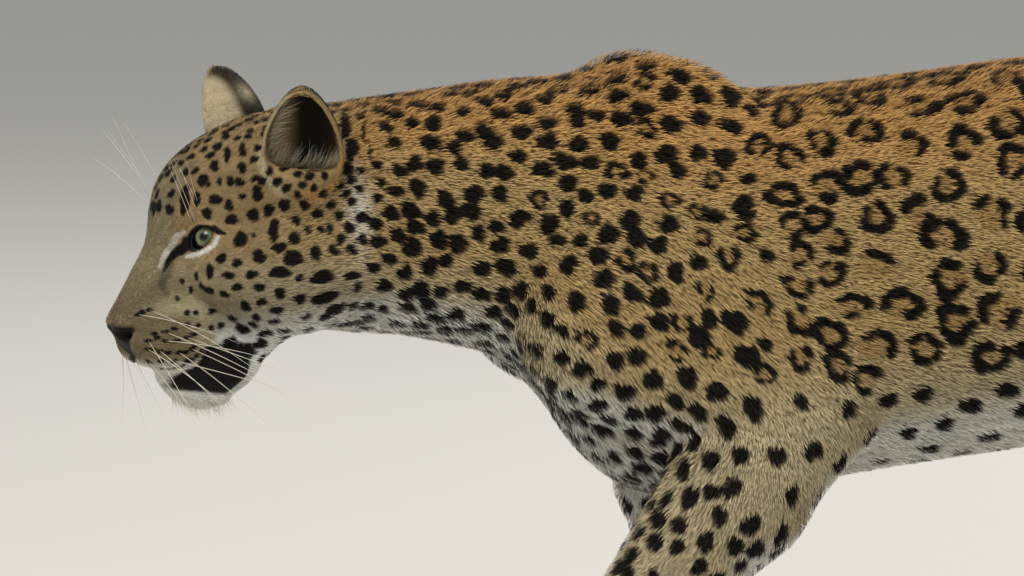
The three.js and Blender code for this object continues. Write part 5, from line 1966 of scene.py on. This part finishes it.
@dataclass(frozen=True)
class Eye:
    """An eyeball with its cornea, and the dark rims of its lids."""

    body: Body
    side: int
    rings: int = 40
    sides: int = 64
    iris: float = 8.6
    bulge: float = 1.1
    rim: float = 1.25

    def centre(self) -> Array:
        """The eyeball's centre in the body's frame."""
        return from_head((EYE[0], self.side * EYE[1], EYE[2]))

    def ball(self, material):
        """The eyeball with its cornea standing a little proud."""
        ahead = unit(head_vector(GAZE[self.side]))
        a, b, c = square_axes(ahead, (0, 0, 1))
        tilt = np.linspace(0, math.pi, self.rings + 1)
        turn = np.arange(self.sides) * 2 * math.pi / self.sides
        spread = np.sin(tilt)[:, None]
        away = EYE_RADIUS * spread
        proud = self.bulge * smoothstep(self.iris, 0.0, away) * (tilt < math.pi / 2)[:, None]
        r = EYE_RADIUS + proud
        x = (r * np.cos(tilt)[:, None]) * np.ones(self.sides)
        y, z = r * spread * np.cos(turn), r * spread * np.sin(turn)
        points = self.centre() + x[..., None] * a + y[..., None] * b + z[..., None] * c
        i, j = np.meshgrid(np.arange(self.rings), np.arange(self.sides), indexing="ij")
        k = (j + 1) % self.sides
        m = self.sides
        quads = np.stack([i * m + j, (i + 1) * m + j, (i + 1) * m + k, i * m + k], -1)
        name = f"{SIDE_NAMES[self.side]}_eyeball"
        inner = quads[1:-1].reshape(-1, 4)
        front = np.stack([np.zeros(m, int), quads[0][:, 1], quads[0][:, 2]], 1)
        back = np.stack([quads[-1][:, 0], np.full(m, self.rings * m), quads[-1][:, 3]], 1)
        caps = np.concatenate([front, back])
        obj = make_mesh(name, points.reshape(-1, 3), inner, caps)
        axis = np.where((tilt > math.pi / 2)[:, None], 12.0, away * np.ones(m)) / 12.0
        value_layer(obj, "from_axis", axis)
        dress(obj, material)
        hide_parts(f"{SIDE_NAMES[self.side]}_eye")
        return obj

    def lids(self, material):
        """The rims of the lids, a dark cord along the opening on the ball."""
        almond = self.body.almonds[self.side]
        flat = almond.edge(26)
        along, _, up = (np.array(a) for a in almond.axes)
        points = np.array(almond.at) + flat[:, :1] * along + flat[:, 1:] * up
        centre = self.centre()
        share = np.abs(flat[:, 0]) / almond.half_length
        radius = EYE_RADIUS + 0.7 + 1.6 * share**3
        line = centre + unit(points - centre) * radius[:, None]
        thick = self.rim * (1.0 - 0.25 * share)
        obj = ring_tube(f"{SIDE_NAMES[self.side]}_lid_rims", line, thick, 10)
        dress(obj, material)
        return obj


def ring_tube(name: str, line: Array, radius: Array, sides: int):
    """A round tube along a closed line."""
    ahead = unit(np.roll(line, -1, 0) - np.roll(line, 1, 0))
    out = unit(line - line.mean(0))
    b = unit(np.cross(ahead, out))
    a = np.cross(b, ahead)
    turn = np.arange(sides) * 2 * math.pi / sides
    rim = np.cos(turn)[None, :, None] * a[:, None] + np.sin(turn)[None, :, None] * b[:, None]
    points = line[:, None] + radius[:, None, None] * rim
    i, j = np.meshgrid(np.arange(len(line)), np.arange(sides), indexing="ij")
    nxt, k = (i + 1) % len(line), (j + 1) % sides
    quads = np.stack([i * sides + j, i * sides + k, nxt * sides + k, nxt * sides + j], -1)
    return make_mesh(name, points.reshape(-1, 3), quads.reshape(-1, 4))


@dataclass(frozen=True)
class Strand:
    """One long hair: its root, first direction, length, root radius and sag."""

    root: Array
    ahead: Array
    length: float
    radius: float
    sag: float


class LongHairs:
    """Whiskers, brow hairs, chin hairs and the long hairs in the ears."""

    STEPS = 9
    SIDES = 4
    BROW_PLACE, BROWS = (-136, 30, 447), 5
    CHIN_LOW, CHIN_HIGH, CHIN_HAIRS = (-152, -22, 292), (-100, 22, 303), 150
    EAR_HAIRS, EAR_HIGH, EAR_DEEP = 230, 39, 31
    SUNK = 1.2
    TAPER = 0.93

    def __init__(self, body: Body, skin: Skin, face: SeenFace) -> None:
        """Keeps the skin that they root in."""
        self.body, self.skin, self.face = body, skin, face
        self.rng = np.random.default_rng(SEED + 2)

    def whiskers(self) -> list[Strand]:
        """The whiskers of both pads."""
        strands = []
        for place in WHISKER_DOTS[::2]:
            h = to_head(self.skin.points[self.face.find(*place)])
            back = np.clip((h[0] + 200) / 45, 0, 1)
            length = 60 + 85 * back * self.rng.uniform(0.7, 1.15)
            drop = math.radians(self.rng.uniform(2, 52))
            for side in (LEFT, RIGHT):
                root = from_head(h * (1, -side, 1))
                way = ((0.3 + 0.6 * back) * math.cos(drop), side * 0.66, -math.sin(drop))
                out = head_vector(way) + self.rng.normal(0, 0.05, 3)
                strands.append(Strand(root, unit(out), length, 0.36, 0.12 * length))
        return strands

    def brows(self) -> list[Strand]:
        """A few long hairs over each eye, up and forward."""
        strands = []
        for _ in range(self.BROWS):
            spot = np.array(self.BROW_PLACE) + self.rng.normal(0, (4, 3, 2))
            for side in (LEFT, RIGHT):
                root = self.body.settle(from_head(spot * (1, side, 1))[None])[0]
                ahead = head_vector((-0.45, side * 0.2, 0.85)) + self.rng.normal(0, 0.1, 3)
                strands.append(Strand(root, unit(ahead), self.rng.uniform(60, 100), 0.3, 4.0))
        return strands

    def chin(self) -> list[Strand]:
        """Pale hairs under the chin, hanging down and back."""
        strands = []
        spots = self.rng.uniform(self.CHIN_LOW, self.CHIN_HIGH, (self.CHIN_HAIRS, 3))
        for root in self.body.settle(from_head(spots), passes=4, most=12.0):
            ahead = head_vector((0.45, 0, -0.9)) + self.rng.normal(0, 0.22, 3)
            strands.append(Strand(root, unit(ahead), self.rng.uniform(8, 16), 0.22, 1.0))
        return strands

    def ears(self) -> list[Strand]:
        """Long pale hairs from the front edge of each ear, laid across its hollow."""
        strands = []
        for side in (LEFT, RIGHT):
            up, facing, across = ear_axes(side)
            centre = from_head(EAR_PLACES[side])
            front = across * np.sign(across @ head_vector((-1, 0, 0)))
            angle = self.rng.uniform(-2.5, 0.9, self.EAR_HAIRS)[:, None]
            reach = self.rng.uniform(0.72, 1.0, self.EAR_HAIRS)[:, None]
            rim = self.EAR_HIGH * np.sin(angle) * up + self.EAR_DEEP * np.cos(angle) * front
            roots = centre + reach * rim - 2 * facing
            for root in self.body.settle(roots, passes=5, most=8.0):
                ahead = 0.55 * up - 0.75 * front + 0.40 * facing + self.rng.normal(0, 0.18, 3)
                if (root - centre) @ up < -12:
                    ahead = ahead + 0.8 * up
                length = self.rng.uniform(12, 28)
                strands.append(Strand(root, unit(ahead), length, 0.26, -0.06 * length))
        return strands

    def build(self, name: str, strands: list[Strand], material):
        """One piece of long hairs as tapered tubes with closed ends."""
        t = np.linspace(0, 1, self.STEPS)
        root = np.array([s.root for s in strands])[:, None]
        ahead = np.array([s.ahead for s in strands])[:, None]
        length = np.array([s.length for s in strands])[:, None, None]
        sag = np.array([s.sag for s in strands])[:, None, None]
        bend = self.rng.normal(0, 0.05, (len(strands), 1, 3))
        tt = t[None, :, None]
        line = root + ahead * length * tt + bend * length * tt**2
        line = line - np.array((0, 0, 1.0)) * sag * tt**2 - ahead * self.SUNK
        side = unit(np.cross(ahead, (0.3, 0.2, 1.0)))
        other = np.cross(ahead, side)
        turn = np.arange(self.SIDES) * 2 * math.pi / self.SIDES
        radius = np.array([s.radius for s in strands])[:, None] * (1 - self.TAPER * t**1.2)[None]
        rim = np.cos(turn)[:, None] * side[:, :, None] + np.sin(turn)[:, None] * other[:, :, None]
        points = line[:, :, None] + radius[..., None, None] * rim
        k, i, j = np.meshgrid(
            np.arange(len(strands)), np.arange(self.STEPS - 1), np.arange(self.SIDES), indexing="ij"
        )
        m = self.SIDES
        base, nxt = k * self.STEPS * m + i * m, (j + 1) % m
        quads = np.stack([base + j, base + nxt, base + m + nxt, base + m + j], -1).reshape(-1, 4)
        first = np.arange(len(strands))[:, None] * self.STEPS * m
        ends = np.concatenate([first + [3, 2, 1, 0], first + (self.STEPS - 1) * m + [0, 1, 2, 3]])
        obj = make_mesh(name, points.reshape(-1, 3), np.concatenate([quads, ends]))
        value_layer(obj, "along", np.broadcast_to(t[None, :, None], (len(strands), self.STEPS, m)))
        dress(obj, material)
        log.info("%s: %d hairs", name, len(strands))
        return obj


class Studio:
    """A plain pale floor and soft light."""

    # Name, place, size, watts and colour of each light.
    LIGHTS = (
        ("key", (-2.4, -2.7, 4.6), 2.6, 260.0, (1.0, 0.965, 0.91)),
        ("fill", (2.6, -4.6, 1.8), 3.4, 30.0, (0.90, 0.95, 1.0)),
        ("back", (1.6, 3.6, 3.2), 2.6, 90.0, (1.0, 0.98, 0.95)),
    )
    AIM = (-0.2, 0.0, 0.35)
    FLOOR, FLOOR_HALF_MM = "#d9d6cf", 60000.0
    SKY, SKY_STRENGTH = "#e8ebee", 0.48

    def build(self) -> None:
        """Makes the floor, the world and the lights."""
        self.floor()
        self.world()
        for row in self.LIGHTS:
            self.light(*row)

    def floor(self) -> None:
        """A wide pale floor."""
        size = self.FLOOR_HALF_MM
        corners = np.array([(-size, -size, 0), (size, -size, 0), (size, size, 0), (-size, size, 0)])
        obj = make_mesh("floor", corners, np.array([[0, 1, 2, 3]]))
        material, tree, out = new_material("Painted studio floor, matt pale grey")
        surface(tree, out, {"Base Color": (*linear(self.FLOOR), 1.0), "Roughness": 0.9})
        obj.data.materials.append(material)

    def world(self) -> None:
        """Even pale light from all round."""
        world = bpy.data.worlds.new("world")
        world.use_nodes = True
        background = world.node_tree.nodes["Background"]
        background.inputs["Color"].default_value = (*linear(self.SKY), 1.0)
        background.inputs["Strength"].default_value = self.SKY_STRENGTH
        bpy.context.scene.world = world

    def light(self, name: str, at: Vec, size: float, power: float, colour: Vec) -> None:
        """A soft square light that faces the animal."""
        data = bpy.data.lights.new(name, "AREA")
        data.shape, data.size, data.energy, data.color = "SQUARE", size, power, colour
        obj = bpy.data.objects.new(name, data)
        bpy.context.scene.collection.objects.link(obj)
        obj.location = at
        way = Vector(self.AIM) - Vector(at)
        obj.rotation_euler = way.to_track_quat("-Z", "Y").to_euler()


def frame_shift() -> Array:
    """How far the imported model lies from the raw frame, taken from the left eye."""
    low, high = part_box("left_eye")
    middle = np.array((low + high) / 2) / MM
    shift = middle - from_head((EYE[0], LEFT * EYE[1], EYE[2]))
    return np.array([shift[0], shift[1], 0.0])


SHIFT = frame_shift()


def main() -> None:
    """Builds the leopard, its coat and the studio."""
    bpy.context.scene.view_settings.view_transform = "Standard"
    Camera().build()
    Studio().build()
    body = Body()
    skin = Skin(body)
    face = SeenFace(skin.points, skin.normals)
    markings = Markings(body, skin, face)
    near = markings.nearest(skin.points)
    paint = Paint(Ground(body, face), markings)
    fur_skin = Fur(name="Skin under short fur", on_skin=True).build()
    skin.build(fur_skin, paint.layers(skin.points, skin.normals, near))
    log.info("skin painted")
    eye_finish, lid_finish = EyeFinish().build(), Leather().build()
    for side in (LEFT, RIGHT):
        eye = Eye(body=body, side=side)
        eye.ball(eye_finish)
        eye.lids(lid_finish)
    hairs, pale = LongHairs(body, skin, face), WhiskerFinish().build()
    hairs.build("whiskers", hairs.whiskers(), pale)
    hairs.build("brow_hairs", hairs.brows(), pale)
    hairs.build("chin_hairs", hairs.chin(), pale)
    grey = WhiskerFinish(name="Long hair of the ears, soft grey", pale="#aaa58e", root="#6a6148")
    hairs.build("ear_hairs", hairs.ears(), grey.build())
    coat = Coat(skin, paint, near, Hair())
    fur = Fur().build()
    for zone in zones():
        coat.build(zone, fur)


if __name__ == "__main__":
    main()
